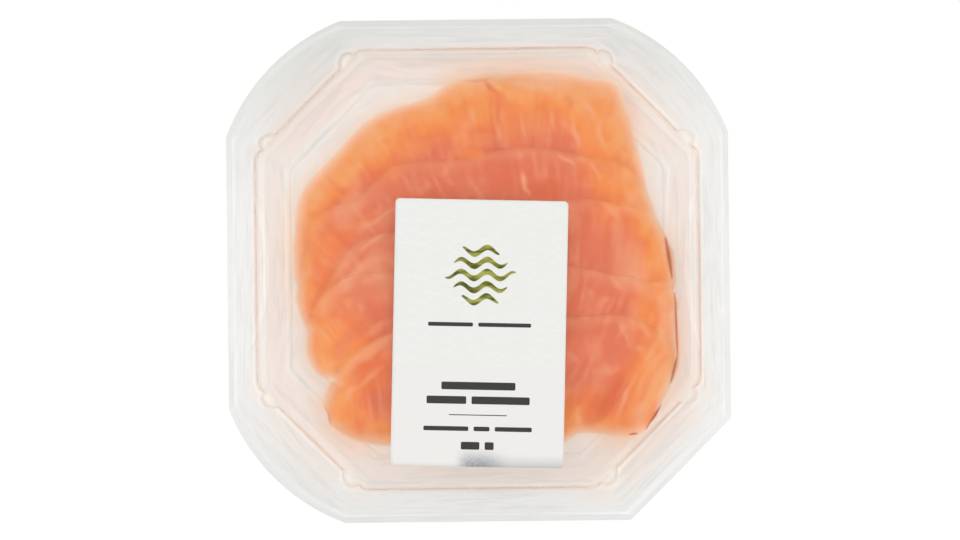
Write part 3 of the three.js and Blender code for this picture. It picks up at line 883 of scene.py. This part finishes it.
# Marks that stand out in the flesh, by their tone and from the head of the pack to its foot: the
# middle of each, its turn, half its length, half its width and how strong it is. Millimetres and
# degrees. The tones are laid over each other in this order.
flesh_marks = {
    "pale orange": [
        (22.0, 56.0, 0, 12.0, 8.0, 0.4), (0.0, 49.5, 0, 8.0, 4.0, 0.4), (-24.5, 46.0, 20, 9.0, 5.0, 0.4),
    ],
    "orange": [
        (0.5, 64.5, 0, 7.0, 4.5, 0.4), (8.8, 64.4, -34, 7.5, 4.5, 0.9), (47.7, 62.0, -33, 7.0, 4.5, 0.7),
        (41.8, 53.4, -77, 9.0, 3.0, 0.5), (-2.5, 44.8, 0, 7.0, 2.0, 0.9), (-3.0, 44.4, 0, 6.0, 2.5, 0.5),
        (59.0, -49.2, 68, 14.0, 2.4, 0.9), (-54.0, -50.5, 60, 8.0, 4.5, 0.35),
    ],
    "straw": [
        (31.0, 68.0, -10, 10.0, 5.0, 0.45), (53.0, 58.0, -70, 14.0, 5.5, 0.3),
        (-48.6, 38.0, 45, 9.0, 5.0, 0.5), (57.0, -46.0, 67, 9.0, 1.2, 0.5),
        (64.3, -49.3, 66, 14.0, 2.2, 0.6),
    ],
    "rose": [
        (7.0, 31.5, 0, 7.0, 5.5, 0.6), (-42.5, 1.5, 40, 6.0, 3.0, 0.35), (42.8, -27.9, -61, 7.0, 4.5, 0.5),
        (-52.0, -28.0, 50, 7.0, 4.0, 0.4),
    ],
    "deep": [
        (5.5, 70.0, -55, 5.5, 1.3, 0.5), (10.0, 63.5, -34, 7.0, 4.5, 0.3),
        (8.2, 57.5, -88, 11.0, 1.3, 0.45), (-3.0, 44.4, 0, 6.0, 3.0, 0.25), (6.0, 38.5, 0, 8.0, 4.5, 0.3),
        (9.3, 32.7, 0, 6.0, 6.0, 0.45), (26.4, 31.7, -8, 8.0, 4.0, 0.6), (22.0, 30.0, -10, 8.0, 3.5, 0.35),
        (23.0, 30.0, -10, 7.0, 3.5, 0.3), (46.5, 24.5, 50, 7.0, 4.0, 0.35),
        (-54.2, 2.3, 56, 10.0, 2.0, 0.4), (-61.5, -9.5, 62, 7.0, 2.0, 0.4),
        (64.8, -11.5, 75, 8.0, 4.5, 0.25), (-39.0, -19.5, 20, 7.0, 4.0, 0.35),
        (-46.0, -21.5, 35, 9.0, 3.5, 0.3), (-38.0, -30.0, 40, 7.0, 3.0, 0.3),
        (-46.0, -36.0, 40, 9.0, 4.0, 0.35), (-42.0, -38.5, 35, 11.0, 6.0, 0.5),
        (-41.0, -43.5, 60, 6.0, 4.0, 0.25), (-40.5, -44.5, 60, 6.0, 4.0, 0.3),
        (47.0, -45.0, 66, 8.0, 4.0, 0.35), (50.5, -47.6, 66, 14.0, 3.2, 0.9),
        (43.3, -55.0, 66, 9.0, 4.5, 0.5),
    ],
    "fat": [
        (42.8, 60.8, -59, 5.6, 1.2, 0.6), (29.0, 58.0, -76, 8.0, 1.1, 0.4),
        (-4.0, 55.5, 60, 9.0, 4.0, 0.35), (17.5, 55.0, -80, 8.0, 1.0, 0.35),
        (8.5, 53.0, -83, 5.0, 1.3, 0.5), (37.6, 52.3, -77, 7.6, 1.2, 0.6), (47.2, 51.3, -70, 6.0, 1.2, 0.7),
        (34.1, 41.6, -37, 5.6, 1.2, 0.6), (45.2, 37.5, -60, 5.5, 1.2, 0.6),
        (17.7, 33.1, -71, 6.5, 1.0, 0.8), (0.0, 30.0, -60, 9.0, 1.4, 0.35),
        (60.0, 25.0, -70, 7.0, 4.0, 0.4), (-49.0, 24.5, 60, 11.0, 6.0, 0.5),
        (57.1, 23.0, -37, 5.6, 1.3, 0.4), (50.7, 22.5, -40, 8.0, 1.3, 0.4),
        (-38.0, 20.0, 35, 12.0, 1.2, 0.4), (-35.0, 19.5, 30, 8.0, 4.0, 0.3),
        (36.0, 19.0, 80, 6.0, 4.0, 0.3), (53.0, 14.0, 80, 7.0, 4.0, 0.35), (-40.0, 12.0, 35, 9.0, 1.4, 0.5),
        (-52.0, 4.0, 60, 7.0, 3.5, 0.35), (-41.5, 3.5, 37, 10.0, 3.5, 0.4), (-35.0, 3.0, 35, 9.0, 6.0, 0.4),
        (57.5, 1.0, 80, 13.0, 8.0, 0.5), (-45.0, 0.5, 80, 24.0, 9.0, 0.16),
        (-47.5, -1.0, 40, 9.0, 1.2, 0.45), (63.5, -1.5, 80, 5.0, 4.0, 0.35),
        (60.4, -4.6, -48, 4.2, 1.4, 0.4), (52.3, -4.9, -42, 5.0, 1.4, 0.4), (35.5, -5.0, 80, 5.0, 4.0, 0.3),
        (-51.3, -5.3, 24, 7.0, 3.5, 0.4), (62.0, -6.5, -70, 7.0, 4.0, 0.4),
        (-35.5, -7.0, 70, 8.0, 5.0, 0.3), (-57.5, -12.0, 70, 7.0, 4.0, 0.35),
        (59.0, -17.5, 80, 8.0, 4.0, 0.35), (72.0, -21.0, -80, 15.0, 4.5, 0.6),
        (-38.0, -21.0, 32, 8.0, 1.3, 0.4), (63.3, -23.2, -66, 4.6, 1.4, 0.4),
        (55.5, -25.0, -69, 6.5, 1.4, 0.4), (69.9, -25.1, -62, 4.4, 1.4, 0.5),
        (-42.0, -30.7, 35, 18.0, 3.0, 0.5), (44.0, -31.0, 80, 7.0, 4.0, 0.3),
        (-42.4, -40.6, 38, 10.0, 1.6, 0.4), (46.0, -41.5, 70, 8.0, 4.0, 0.3),
        (61.5, -43.0, 68, 9.0, 1.0, 0.4), (64.0, -45.0, 66, 14.0, 4.0, 0.25),
        (-49.5, -46.0, 55, 5.0, 2.0, 0.5), (54.0, -52.0, 66, 9.0, 1.2, 0.45),
        (37.4, -55.4, 90, 5.0, 1.0, 0.6), (60.7, -56.0, 60, 7.0, 5.0, 0.5),
    ],
    # Clear marks are painted light, where thin flesh lets it through.
    "clear": [
        (24.0, 71.5, 0, 14.0, 4.0, 0.3), (75.0, -25.0, -85, 12.0, 3.0, 0.3),
    ],
    "skin": [
        (-0.4, 73.3, 9, 7.5, 0.7, 0.55), (46.5, -52.5, 64, 7.0, 1.2, 0.18),
    ],
}
mark_waver = 0.65 * mm
mark_waver_length = 7 * mm


def mark_shares(x, y):
    """How much of each tone the marks lay on the flesh, at each point."""
    moved_x = x + mark_waver * unevenness(x, y, mark_waver_length, 41)
    moved_y = y + mark_waver * unevenness(x, y, mark_waver_length, 42)
    shares = {}
    for tone, marks in flesh_marks.items():
        bare = np.ones(x.shape)
        for mark_x, mark_y, turn, half_length, half_width, strength in marks:
            cos, sin = math.cos(math.radians(turn)), math.sin(math.radians(turn))
            dx, dy = moved_x / mm - mark_x, moved_y / mm - mark_y
            along = (dx * cos + dy * sin) / half_length
            across = (dy * cos - dx * sin) / half_width
            bare *= 1 - strength * (1 - eased(along**2 + across**2, 0, 1))
        shares[tone] = 1 - bare
    return shares


def slice_bed(name, flat, from_edge, below):
    """The height that a slice lies at, over a grid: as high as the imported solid's underside, but
    sinking at its edge on to what is under it. Below holds the surfaces laid so far."""
    felt = slice_edges(name, np.clip(along_shares, *felt_along))[:2]
    under = undersides(name, laid_out(*felt, np.clip(across_shares, *felt_across)))
    for _ in range(3):
        under = blurred(under, 5)
    rest = np.zeros(under.shape)
    for tree in below:
        rest = np.maximum(rest, first_hits(tree, flat, 30 * mm, -1, 0.0))
    rest = np.maximum(blurred(rest, 2), rest) + contact
    over_rest = np.maximum(under - cling - rest + contact, 0)
    return np.maximum(blurred(rest + eased(from_edge, 0, edge_droop) * over_rest, 2), rest)


def closed_slice(flat, upper, lower):
    """Two bent grids, face to face, joined along their border."""
    halves = []
    for heights in (upper, lower):
        halves.append(bent_grid(np.concatenate([flat, heights[..., None]], axis=-1), closed=False))
        facing_up(halves[-1])
    bm, under = halves
    bmesh.ops.reverse_faces(under, faces=under.faces)
    half = bpy.data.meshes.new("half")
    under.to_mesh(half)
    under.free()
    bm.from_mesh(half)
    bpy.data.meshes.remove(half)
    border = [v for v in bm.verts if v.is_boundary]
    bmesh.ops.remove_doubles(bm, verts=border, dist=0.001 * mm)
    return bm


def make_slice(name, index, below, material):
    far_line, near_line, length = slice_edges(name, along_shares)
    width = np.linalg.norm(near_line - far_line, axis=1)[None]
    flat = laid_out(far_line, near_line, across_shares)
    t, s = along_shares[None], across_shares[:, None]
    from_edge = np.minimum(np.minimum(t, 1 - t) * length, np.minimum(s, 1 - s) * width)

    # The outline wavers a little, as a hand-cut edge does.
    waver = cut_waver * np.exp(-from_edge / cut_waver_depth)[..., None]
    seeds = (10 * index, 10 * index + 1)
    shift = [unevenness(flat[..., 0], flat[..., 1], cut_waver_length, seed) for seed in seeds]
    flat = flat + waver * np.stack(shift, axis=-1)
    x, y = flat[..., 0], flat[..., 1]

    # The body is wavy along its length and a little rough, and thins out to a round edge.
    wave = np.sin(2 * math.pi * t * length / slice_wavelength + 1.9 * index + 2 * s)
    body = eased(from_edge, 0, slice_taper)
    thickness = slice_edge + (slice_thickness + cling - slice_edge + slice_wave * wave) * body
    crowded = t * length * relief_crowding
    rough = coarse_height * unevenness(crowded, s * width, coarse_length, 20 * index + 5)
    rough += fine_height * unevenness(x, y, fine_length, 20 * index + 6)
    thickness += rough * body
    middle = slice_bed(name, flat, from_edge, below) + thickness * 0.5
    round_edge = np.sqrt(1 - (1 - np.clip(from_edge / (slice_edge / 2), 0, 1)) ** 2)
    half = thickness * 0.5 * round_edge
    bm = closed_slice(flat, middle + half, middle - half)
    below.append(BVHTree.FromBMesh(bm))

    # What the material needs to know of each point: its place along and across the slice, how far
    # it is from the slice's edge, from the pile's edge and from the slices that lie over it,
    # whether it is skin, and which marks it has.
    points = flat.reshape(-1, 2)
    over = [outlines[n][inside_outline(outlines[n], outlines[name])] for n in list(slices)[index + 1:]]
    over = np.vstack(over + [np.full((1, 2), 1000 * mm)])
    fields = {
        "along": np.broadcast_to(t * length, x.shape) / mm,
        "across": s * width / mm,
        "rim": from_edge / mm,
        "pile_edge": distance_to(points, pile_border) / mm,
        "next_edge": distance_to(points, over) / mm,
        "outer_skin": skin_share(x, y),
        **mark_shares(x, y),
    }
    grid = KDTree(len(points))
    for i, (a, b) in enumerate(points):
        grid.insert((a, b, 0), i)
    grid.balance()
    piece = finished_object("salmon_" + name, bm, name, material)
    picked = [grid.find((a, b, 0))[1] for a, b, _ in vertex_places(piece)]
    for field_name, values in fields.items():
        point_values(piece, field_name, values.ravel()[picked])


flesh_tones = {
    "straw": (0.96, 0.44, 0.175),
    "pale orange": (0.955, 0.37, 0.115),
    "orange": (0.95, 0.30, 0.07),
    "coral": (0.88, 0.225, 0.07),
    "rose": (0.80, 0.195, 0.095),
    "deep": (0.77, 0.14, 0.045),
    "fat": (0.95, 0.42, 0.225),
    "skin": (0.52, 0.14, 0.06),
    "clear": (0.94, 0.74, 0.60),
}
# Millimetres in from the pile's edge, and the tone there or how clear the flesh is.
tone_inwards = [(-6, "straw"), (1, "pale orange"), (8, "orange"), (15, "coral"), (24, "rose"), (40, "rose")]
clear_inwards = [(0.3, 0.95), (0.8, 0.66), (1.5, 0.46), (2.5, 0.26), (3.6, 0.10), (5.0, 0.0)]
fibre_scale = (0.38, 0.05, 0)  # fibres are narrow along the slice and long across it
fat_spacing = 9.0  # millimetres along the slice
fat_bend = 1.8


def colours_by(tree, value, stops):
    """A colour that runs through the given ones as the value goes through theirs."""
    low, high = stops[0][0], stops[-1][0]
    share = smooth_step(tree, value, low, high, easing="LINEAR")
    node = add_node(tree, "ShaderNodeValToRGB", {0: share})
    elements = node.color_ramp.elements
    for place, _ in stops[1:-1]:
        elements.new((place - low) / (high - low))
    for element, (_, colour) in zip(elements, stops):
        element.color = (*colour, 1)
    return node.outputs[0]


def fat_lines(tree, along, across, broad, patchy):
    """Thin curved lines of fat, which start at the slice's far edge and fade inwards."""
    bend = product(tree, value_of(tree, "SQRT", value_of(tree, "ADD", across, 0.5)), fat_bend)
    phase = value_of(tree, "DIVIDE", value_of(tree, "SUBTRACT", along, bend), fat_spacing)
    phase = value_of(tree, "MULTIPLY_ADD", broad, 2.5, phase)
    crest = value_of(tree, "COSINE", product(tree, phase, 2 * math.pi))
    line = smooth_step(tree, crest, 0.6, 1.0, 0.0, 0.18)
    gate = smooth_step(tree, patchy, 0.42, 0.62)
    return product(tree, line, gate, smooth_step(tree, across, 3.0, 16.0, 1.0, 0.2))


def make_flesh():
    """Smoked salmon: orange at the outside of the fish and rosier inside, with fibres that run
    across the slice, lines of fat, marks, pale edges and a dark dried skin, painted light where the
    pile's edge is thinnest, and painted shade beside the slices that lie over it."""
    material, tree = new_material("smoked_flesh")
    place = millimetres(tree)
    along, across, rim = field(tree, "along"), field(tree, "across"), field(tree, "rim")
    pile_edge = field(tree, "pile_edge")
    broad = noise_at(tree, place, 17.0)
    patchy = noise_at(tree, place, 7.0, 3.0)

    # The tone changes from the pile's edge inwards, sooner at the head of the pack.
    head = add_node(tree, "ShaderNodeSeparateXYZ", {0: place}).outputs["Y"]
    depth = value_of(tree, "SUBTRACT", pile_edge, smooth_step(tree, head, 22.0, 70.0, 0.0, 8.0))
    depth = value_of(tree, "ADD", depth, smooth_step(tree, broad, 0.25, 0.75, -8.0, 8.0))
    colour = colours_by(tree, depth, [(reach, flesh_tones[tone]) for reach, tone in tone_inwards])

    # Fibres show away from the slice's edge, and here and there.
    cut = add_node(tree, "ShaderNodeCombineXYZ", {0: along, 1: across}).outputs[0]
    stretched = add_node(tree, "ShaderNodeMapping", {"Vector": cut, "Scale": fibre_scale})
    fibres = noise_at(tree, stretched.outputs[0], 1.0, 0.0)
    showing = smooth_step(tree, noise_at(tree, place, 12.0), 0.4, 0.65, 0.25, 1.0)
    inner = product(tree, smooth_step(tree, rim, 0.0, 3.0), showing)

    # Beside its far edge the flesh is pale.
    wavering = value_of(tree, "MULTIPLY_ADD", broad, 4.0, rim)
    pale = smooth_step(tree, wavering, 1.2, 4.0)
    pale = product(tree, pale, smooth_step(tree, wavering, 4.0, 9.0, 0.2, 0.0))

    # The pile's outermost edge is so thin that the light comes through: its pale colour is painted
    # light.
    thin = value_of(tree, "MULTIPLY_ADD", patchy, 0.8, pile_edge)
    clear = colours_by(tree, thin, [(reach, (share,) * 3) for reach, share in clear_inwards])

    layers = [
        (smooth_step(tree, patchy, 0.52, 0.78, 0.0, 0.45), "fat"),
        (smooth_step(tree, patchy, 0.48, 0.24, 0.0, 0.34), "deep"),
        (product(tree, smooth_step(tree, fibres, 0.48, 0.8, 0.0, 0.32), inner), "fat"),
        (product(tree, smooth_step(tree, fibres, 0.48, 0.22, 0.0, 0.28), inner), "deep"),
        (fat_lines(tree, along, across, broad, patchy), "fat"),
        (pale, "fat"),
        # Painted shade beside the edges of the slices that lie over this one.
        (smooth_step(tree, field(tree, "next_edge"), 0.0, 5.0, 0.16, 0.0), "deep"),
        *((field(tree, tone), tone) for tone in flesh_marks),
        (clear, "clear"),
        (field(tree, "outer_skin"), "skin"),
    ]
    for share, tone in layers:
        colour = mixed_colour(tree, share, colour, flesh_tones[tone])

    fine = noise_at(tree, place, 1.2, 3.0, 0.6)
    height = value_of(tree, "MULTIPLY_ADD", fibres, 0.5, product(tree, fine, 0.2))
    show(tree, principled(tree, {
        "Base Color": colour, "Roughness": smooth_step(tree, patchy, 0.3, 0.7, 0.34, 0.46),
        "IOR": 1.42, "Subsurface Weight": 0.4, "Subsurface Radius": (1.0, 0.7, 0.55),
        "Subsurface Scale": 0.3 * mm, "Normal": relief(tree, [(height, 0.2 * mm)], 0.5),
    }))
    return material


smoked_flesh = make_flesh()
laid = [surface_tree(tray.data)]
for number, slice_name in enumerate(slices):
    make_slice(slice_name, number, laid, smoked_flesh)

# ---- The film ----
# A clear film sealed on the land with heat and cut there, inside the step. It is drawn down
# slightly over the fish, because the air in the pack cools after sealing.
film_thickness = 0.1 * mm
film_over_land = 0.03 * mm
film_top = tray_height + film_over_land + film_thickness
film_inset = 3.4 * mm
film_sag = 1.2 * mm


def sag_at(share):
    """How far the film hangs down, at a share of the way from the well's middle to its mouth."""
    return film_sag * (1 - np.minimum(share, 1) ** 2) ** 2


def film_height(x, y):
    """The film's upper face over a point of the well or the land."""
    dx, dy = x - well_centre[0], y - well_centre[1]
    return film_top - sag_at(np.hypot(dx, dy) / well_at(np.arctan2(dy, dx)))


def film_rings(angles):
    insets = (film_inset, film_inset + edge_support)
    rings = [ring(angles, outline_at(angles, inset), film_top) for inset in insets]
    rings += [ring(angles, well_at(angles, out), film_top) for out in (5 * mm, 1 * mm)]
    for share in np.linspace(0.985, 0, 28):
        rings.append(ring(angles, share * well_at(angles), film_top - sag_at(share)))
    return rings


film_clean = (0.99, 0.992, 0.987)
# The film's warm tint is oil from the fish with painted warm light from it.
film_tints_and_painted_light = {"oil_and_painted_light": (0.99, 0.975, 0.96)}
tension_lines = [(-164, 4, 84), (214, 2, 135)]  # each circle's middle and radius, in millimetres
film_plastic = clear_plastic(
    "film", film_clean, film_tints_and_painted_light, roughness=0.12, ripple_length=30.0,
    ripple_height=0.05 * mm, flow_height=0.01 * mm, lines=tension_lines,
)
film_mesh = bent_grid(film_rings(around(count=640, crowding=0.5)), closed=True)
facing_up(film_mesh)
film = finished_object("sealed_film", film_mesh, "lid_film", film_plastic, film_thickness)
mark_plastic(film, {"oil_and_painted_light": oil_and_painted_light_on})

# ---- The label ----
# A rounded rectangle of pearly coated paper, pressed on the film by hand, so it lies a little
# askew. Its upper part is embossed with a net of waves, lit by a painted highlight, and its foot
# carries a painted reflection in grey and dark silver, which is partly metallic.
label_width = 65.4 * mm
label_length = 101 * mm
label_corner = 1.6 * mm
label_thickness = 0.2 * mm
label_top = 0.01 * mm + label_thickness  # over the film
label_centre = (0.1 * mm, -23.7 * mm)
label_turn = math.radians(-1.75)
label_grain = 2 * mm  # the paper's mesh is cut this fine, to follow the film
paper_pearl = (0.795, 0.803, 0.772)
paper_plain = (0.81, 0.795, 0.775)
paper_raised_highlight = (0.85, 0.86, 0.84)
paper_grey = (0.54, 0.545, 0.53)
paper_silver = (0.25, 0.275, 0.325)
light_through = 0.6  # how much of the lamps' light the paper lets through
net_foot = -13.0  # millimetres above the middle of the label
net_pitch = 4.4  # millimetres
net_waves = 0.42  # radians for each millimetre across
net_sway = 0.9  # millimetres
net_slope = 0.5


def on_label(x, y):
    """A point of the label's own plane, put on the pack."""
    cos, sin = math.cos(label_turn), math.sin(label_turn)
    return label_centre[0] + x * cos - y * sin, label_centre[1] + x * sin + y * cos


def rounded_field(bm, width, length, corner, middle=(0, 0)):
    """A flat rectangle with rounded corners, added to a bmesh."""
    corners = [(-0.5, -0.5), (0.5, -0.5), (0.5, 0.5), (-0.5, 0.5)]
    verts = [bm.verts.new((middle[0] + a * width, middle[1] + b * length, 0)) for a, b in corners]
    bm.faces.new(verts)
    bmesh.ops.bevel(
        bm, geom=verts, offset=corner, segments=6, profile=0.5, affect="VERTICES", material=-1
    )


def cut_up(bm):
    """Cuts flat shapes along a square net, so that they can bend with the film."""
    for normal, size in (((1, 0, 0), label_width), ((0, 1, 0), label_length)):
        for place in np.arange(-size / 2 + label_grain, size / 2, label_grain):
            geometry = bm.verts[:] + bm.edges[:] + bm.faces[:]
            co = tuple(place * n for n in normal)
            bmesh.ops.bisect_plane(bm, geom=geometry, dist=1e-7, plane_co=co, plane_no=normal)


def laid_on_film(bm, lift):
    """Moves flat shapes from the label's own plane to their place over the film."""
    for vert in bm.verts:
        x, y = on_label(vert.co.x, vert.co.y)
        vert.co = (x, y, film_height(np.array(x), np.array(y)) + lift)
    facing_up(bm)


def net_of_waves(tree, own, x, y):
    """Two sets of wavy rows that cross, pressed in more here than there."""
    sway = value_of(tree, "SINE", product(tree, x, net_waves))
    rows = []
    for slope in (net_slope, -net_slope):
        shift = value_of(tree, "MULTIPLY_ADD", sway, net_sway, product(tree, x, slope))
        row = product(tree, value_of(tree, "ADD", y, shift), 2 * math.pi / net_pitch)
        rows.append(smooth_step(tree, value_of(tree, "COSINE", row), -0.1, 1.0))
    pressed = smooth_step(tree, noise_at(tree, own, 6.0), 0.35, 0.6, 0.25, 1.0)
    return product(tree, value_of(tree, "MAXIMUM", *rows), pressed)


def painted_silver_reflection(tree, own, x, y):
    """A painted reflection at the middle of the label's foot: dark silver in fine dots, partly metallic."""
    ends = product(tree, smooth_step(tree, x, -9.0, -3.0), smooth_step(tree, x, 1.0, 13.0, 1.0, 0.0))
    dots = smooth_step(tree, noise_at(tree, own, 1.1, 1.0), 0.3, 0.7, 0.7, 1.0)
    return product(tree, smooth_step(tree, y, -51.0, -42.5, 0.85, 0.0), ends, dots)


def make_label_paper():
    material, tree = new_material("pearly_paper")
    placing = {
        "Vector": millimetres(tree),
        "Location": (label_centre[0] / mm, label_centre[1] / mm, 0),
        "Rotation": (0, 0, label_turn),
    }
    own = add_node(tree, "ShaderNodeMapping", placing, vector_type="TEXTURE").outputs[0]
    x, y, _ = add_node(tree, "ShaderNodeSeparateXYZ", {0: own}).outputs
    upper = smooth_step(tree, y, net_foot - 0.3, net_foot + 0.3)
    raised = product(tree, net_of_waves(tree, own, x, y), upper)
    # Painted reflection: grey at the label's foot, and dark silver in its middle.
    painted_foot_reflection = product(tree, smooth_step(tree, y, -50.5, -45.0, 0.8, 0.0), smooth_step(tree, x, -8.0, 10.0))
    silver = painted_silver_reflection(tree, own, x, y)
    colour = mixed_colour(tree, upper, paper_plain, paper_pearl)
    # Painted highlight: the raised net is lighter.
    colour = mixed_colour(tree, product(tree, raised, 0.25), colour, paper_raised_highlight)
    colour = mixed_colour(tree, painted_foot_reflection, colour, paper_grey)
    colour = mixed_colour(tree, silver, colour, paper_silver)
    paper = principled(tree, {
        "Base Color": colour, "Metallic": product(tree, silver, 0.6), "Roughness": 0.38,
        "Normal": relief(tree, [(raised, 0.14 * mm)], 0.6),
    })
    # Some of the lamps' light comes through the paper to the fish.
    path = add_node(tree, "ShaderNodeLightPath").outputs
    clear = add_node(tree, "ShaderNodeBsdfTransparent", {"Color": (1, 1, 1)}).outputs[0]
    thin = add_node(tree, "ShaderNodeMixShader", {0: light_through, 1: paper, 2: clear}).outputs[0]
    for ray in ("Is Shadow Ray", "Is Diffuse Ray"):
        paper = add_node(tree, "ShaderNodeMixShader", {0: path[ray], 1: paper, 2: thin}).outputs[0]
    show(tree, paper)
    return material


label_mesh = bmesh.new()
rounded_field(label_mesh, label_width, label_length, label_corner)
bmesh.ops.inset_region(label_mesh, faces=label_mesh.faces[:], thickness=0.08 * mm)
cut_up(label_mesh)
laid_on_film(label_mesh, label_top)
finished_object(
    "paper_label", label_mesh, "label", make_label_paper(), label_thickness
)

# ---- The print ----
# Plain fields of dark ink, and an ornament of waves stamped in olive gold foil over the net.
print_lift = label_top + 0.015 * mm
ink_colour = (0.018, 0.018, 0.018)
ink_worn = (0.035, 0.034, 0.034)
foil_dark = (0.10, 0.11, 0.01)
foil_light = (0.55, 0.55, 0.12)
# Each row of print: how far up from the label's middle, its height, and its fields' lengths. These
# and the sizes of the foil are in millimetres.
print_rows = [
    (3.2, 1.5, (17.0, 20.0)),
    (-20.0, 2.9, (28.0,)),
    (-25.4, 2.9, (15.0, 22.0)),
    (-31.0, 0.35, (22.0,)),
    (-36.2, 1.7, (17.0, 6.0, 14.0)),
    (-42.6, 2.9, (7.0, 3.4)),
]
word_gap = 2.0
foil_waves = 5
foil_pitch = 4.6
foil_middle = 22.0
foil_half_length = 13.5
foil_shorter = 3.2  # for each wave further from the middle one
foil_half_width = 1.15
foil_sway = 1.3
foil_wavelength = 10


def make_print():
    material, tree = new_material("dark_ink")
    worn = smooth_step(tree, noise_at(tree, millimetres(tree), 0.4, 2.0), 0.3, 0.8)
    colour = mixed_colour(tree, worn, ink_colour, ink_worn)
    show(tree, principled(tree, {"Base Color": colour, "Roughness": 0.5}))
    bm = bmesh.new()
    for height, size, lengths in print_rows:
        left = -(sum(lengths) + word_gap * (len(lengths) - 1)) / 2
        corner = min(0.45 * size, 0.5) * mm
        for length in lengths:
            middle = ((left + length / 2) * mm, height * mm)
            rounded_field(bm, length * mm, size * mm, corner, middle)
            left += length + word_gap
    cut_up(bm)
    laid_on_film(bm, print_lift)
    finished_object("ink_fields", bm, None, material)


def make_foil():
    material, tree = new_material("olive_foil")
    brushed = {"Vector": millimetres(tree), "Scale": (0.25, 0.9, 0)}
    brushed = add_node(tree, "ShaderNodeMapping", brushed).outputs[0]
    sheen = smooth_step(tree, noise_at(tree, brushed, 3.0, 3.0), 0.35, 0.65)
    colour = mixed_colour(tree, sheen, foil_dark, foil_light)
    show(tree, principled(tree, {"Base Color": colour, "Metallic": 0.7, "Roughness": 0.3}))
    bm = bmesh.new()
    for wave in range(foil_waves):
        from_middle = wave - (foil_waves - 1) / 2
        half_length = foil_half_length - foil_shorter * abs(from_middle)
        height = foil_middle + from_middle * foil_pitch
        placed = set(bm.verts)
        bmesh.ops.create_grid(bm, x_segments=60, y_segments=2, size=0.5)
        for vert in set(bm.verts) - placed:
            share = 2 * vert.co.x
            taper = max(1 - share**2, 0) ** 0.5
            sway = foil_sway * math.sin(2 * math.pi * share * half_length / foil_wavelength)
            vert.co.x = share * half_length * mm
            vert.co.y = (height + sway + 2 * vert.co.y * foil_half_width * taper) * mm
    bmesh.ops.remove_doubles(bm, verts=bm.verts, dist=0.01 * mm)
    laid_on_film(bm, print_lift)
    finished_object("foil_waves", bm, None, material)


make_print()
make_foil()

# ---- Floor, light and camera ----
# A white board, lit a little from behind, under two broad banks of soft light, to the left and
# the right. The camera looks down through the dark gap between them.
floor_half = 3.0
floor_colour = (0.5, 0.5, 0.5)
floor_glow = 0.5
sky_light = 1.14
overhead_light = 0.1
gap_half_width = 0.09
gap_half_length = 1.1
gap_edge = (0.4, 2.1)
lamp_place = (1.7, 0.0, 1.2)
lamp_size = 1.0
lamp_power = 2
camera_height = 0.871
camera_place = (0.00057, 0.00019)
camera_roll = math.radians(-0.62)


def make_floor():
    bm = bmesh.new()
    bmesh.ops.create_grid(bm, x_segments=1, y_segments=1, size=floor_half)
    material, tree = new_material("white_board")
    show(tree, principled(tree, {
        "Base Color": floor_colour, "Roughness": 0.8, "Specular IOR Level": 0.0,
        "Emission Color": (1, 1, 1), "Emission Strength": floor_glow,
    }))
    mesh_object("studio_floor", bm, material)


def make_sky():
    world = bpy.data.worlds.new("studio")
    bpy.context.scene.world = world
    world.use_nodes = True
    tree = world.node_tree
    tree.nodes.clear()
    direction = add_node(tree, "ShaderNodeTexCoord").outputs["Generated"]
    x, y, _ = add_node(tree, "ShaderNodeSeparateXYZ", {0: direction}).outputs
    across = value_of(tree, "DIVIDE", x, gap_half_width)
    along = value_of(tree, "DIVIDE", y, gap_half_length)
    from_gap = value_of(tree, "ADD", product(tree, across, across), product(tree, along, along))
    strength = smooth_step(tree, from_gap, *gap_edge, overhead_light, sky_light)
    sky = add_node(tree, "ShaderNodeBackground", {"Color": (1, 1, 1), "Strength": strength})
    add_node(tree, "ShaderNodeOutputWorld", {"Surface": sky.outputs[0]})


def soft_lamp(name, place):
    lamp = bpy.data.lights.new(name, "AREA")
    lamp.shape = "SQUARE"
    lamp.size = lamp_size
    lamp.energy = lamp_power
    holder = placed_object(name, lamp)
    holder.location = place
    holder.rotation_euler = (-Vector(place)).to_track_quat("-Z", "Y").to_euler()


def make_camera():
    lens = bpy.data.cameras.new("camera")
    lens.lens = 85
    lens.sensor_width = 36
    lens.clip_start = 0.05
    holder = placed_object("camera", lens)
    holder.location = (*camera_place, camera_height)
    holder.rotation_euler = (0, 0, camera_roll)
    bpy.context.scene.camera = holder


make_floor()
make_sky()
soft_lamp("left_lamp", (-lamp_place[0], *lamp_place[1:]))
soft_lamp("right_lamp", lamp_place)
make_camera()
bpy.context.scene.view_settings.view_transform = "Standard"
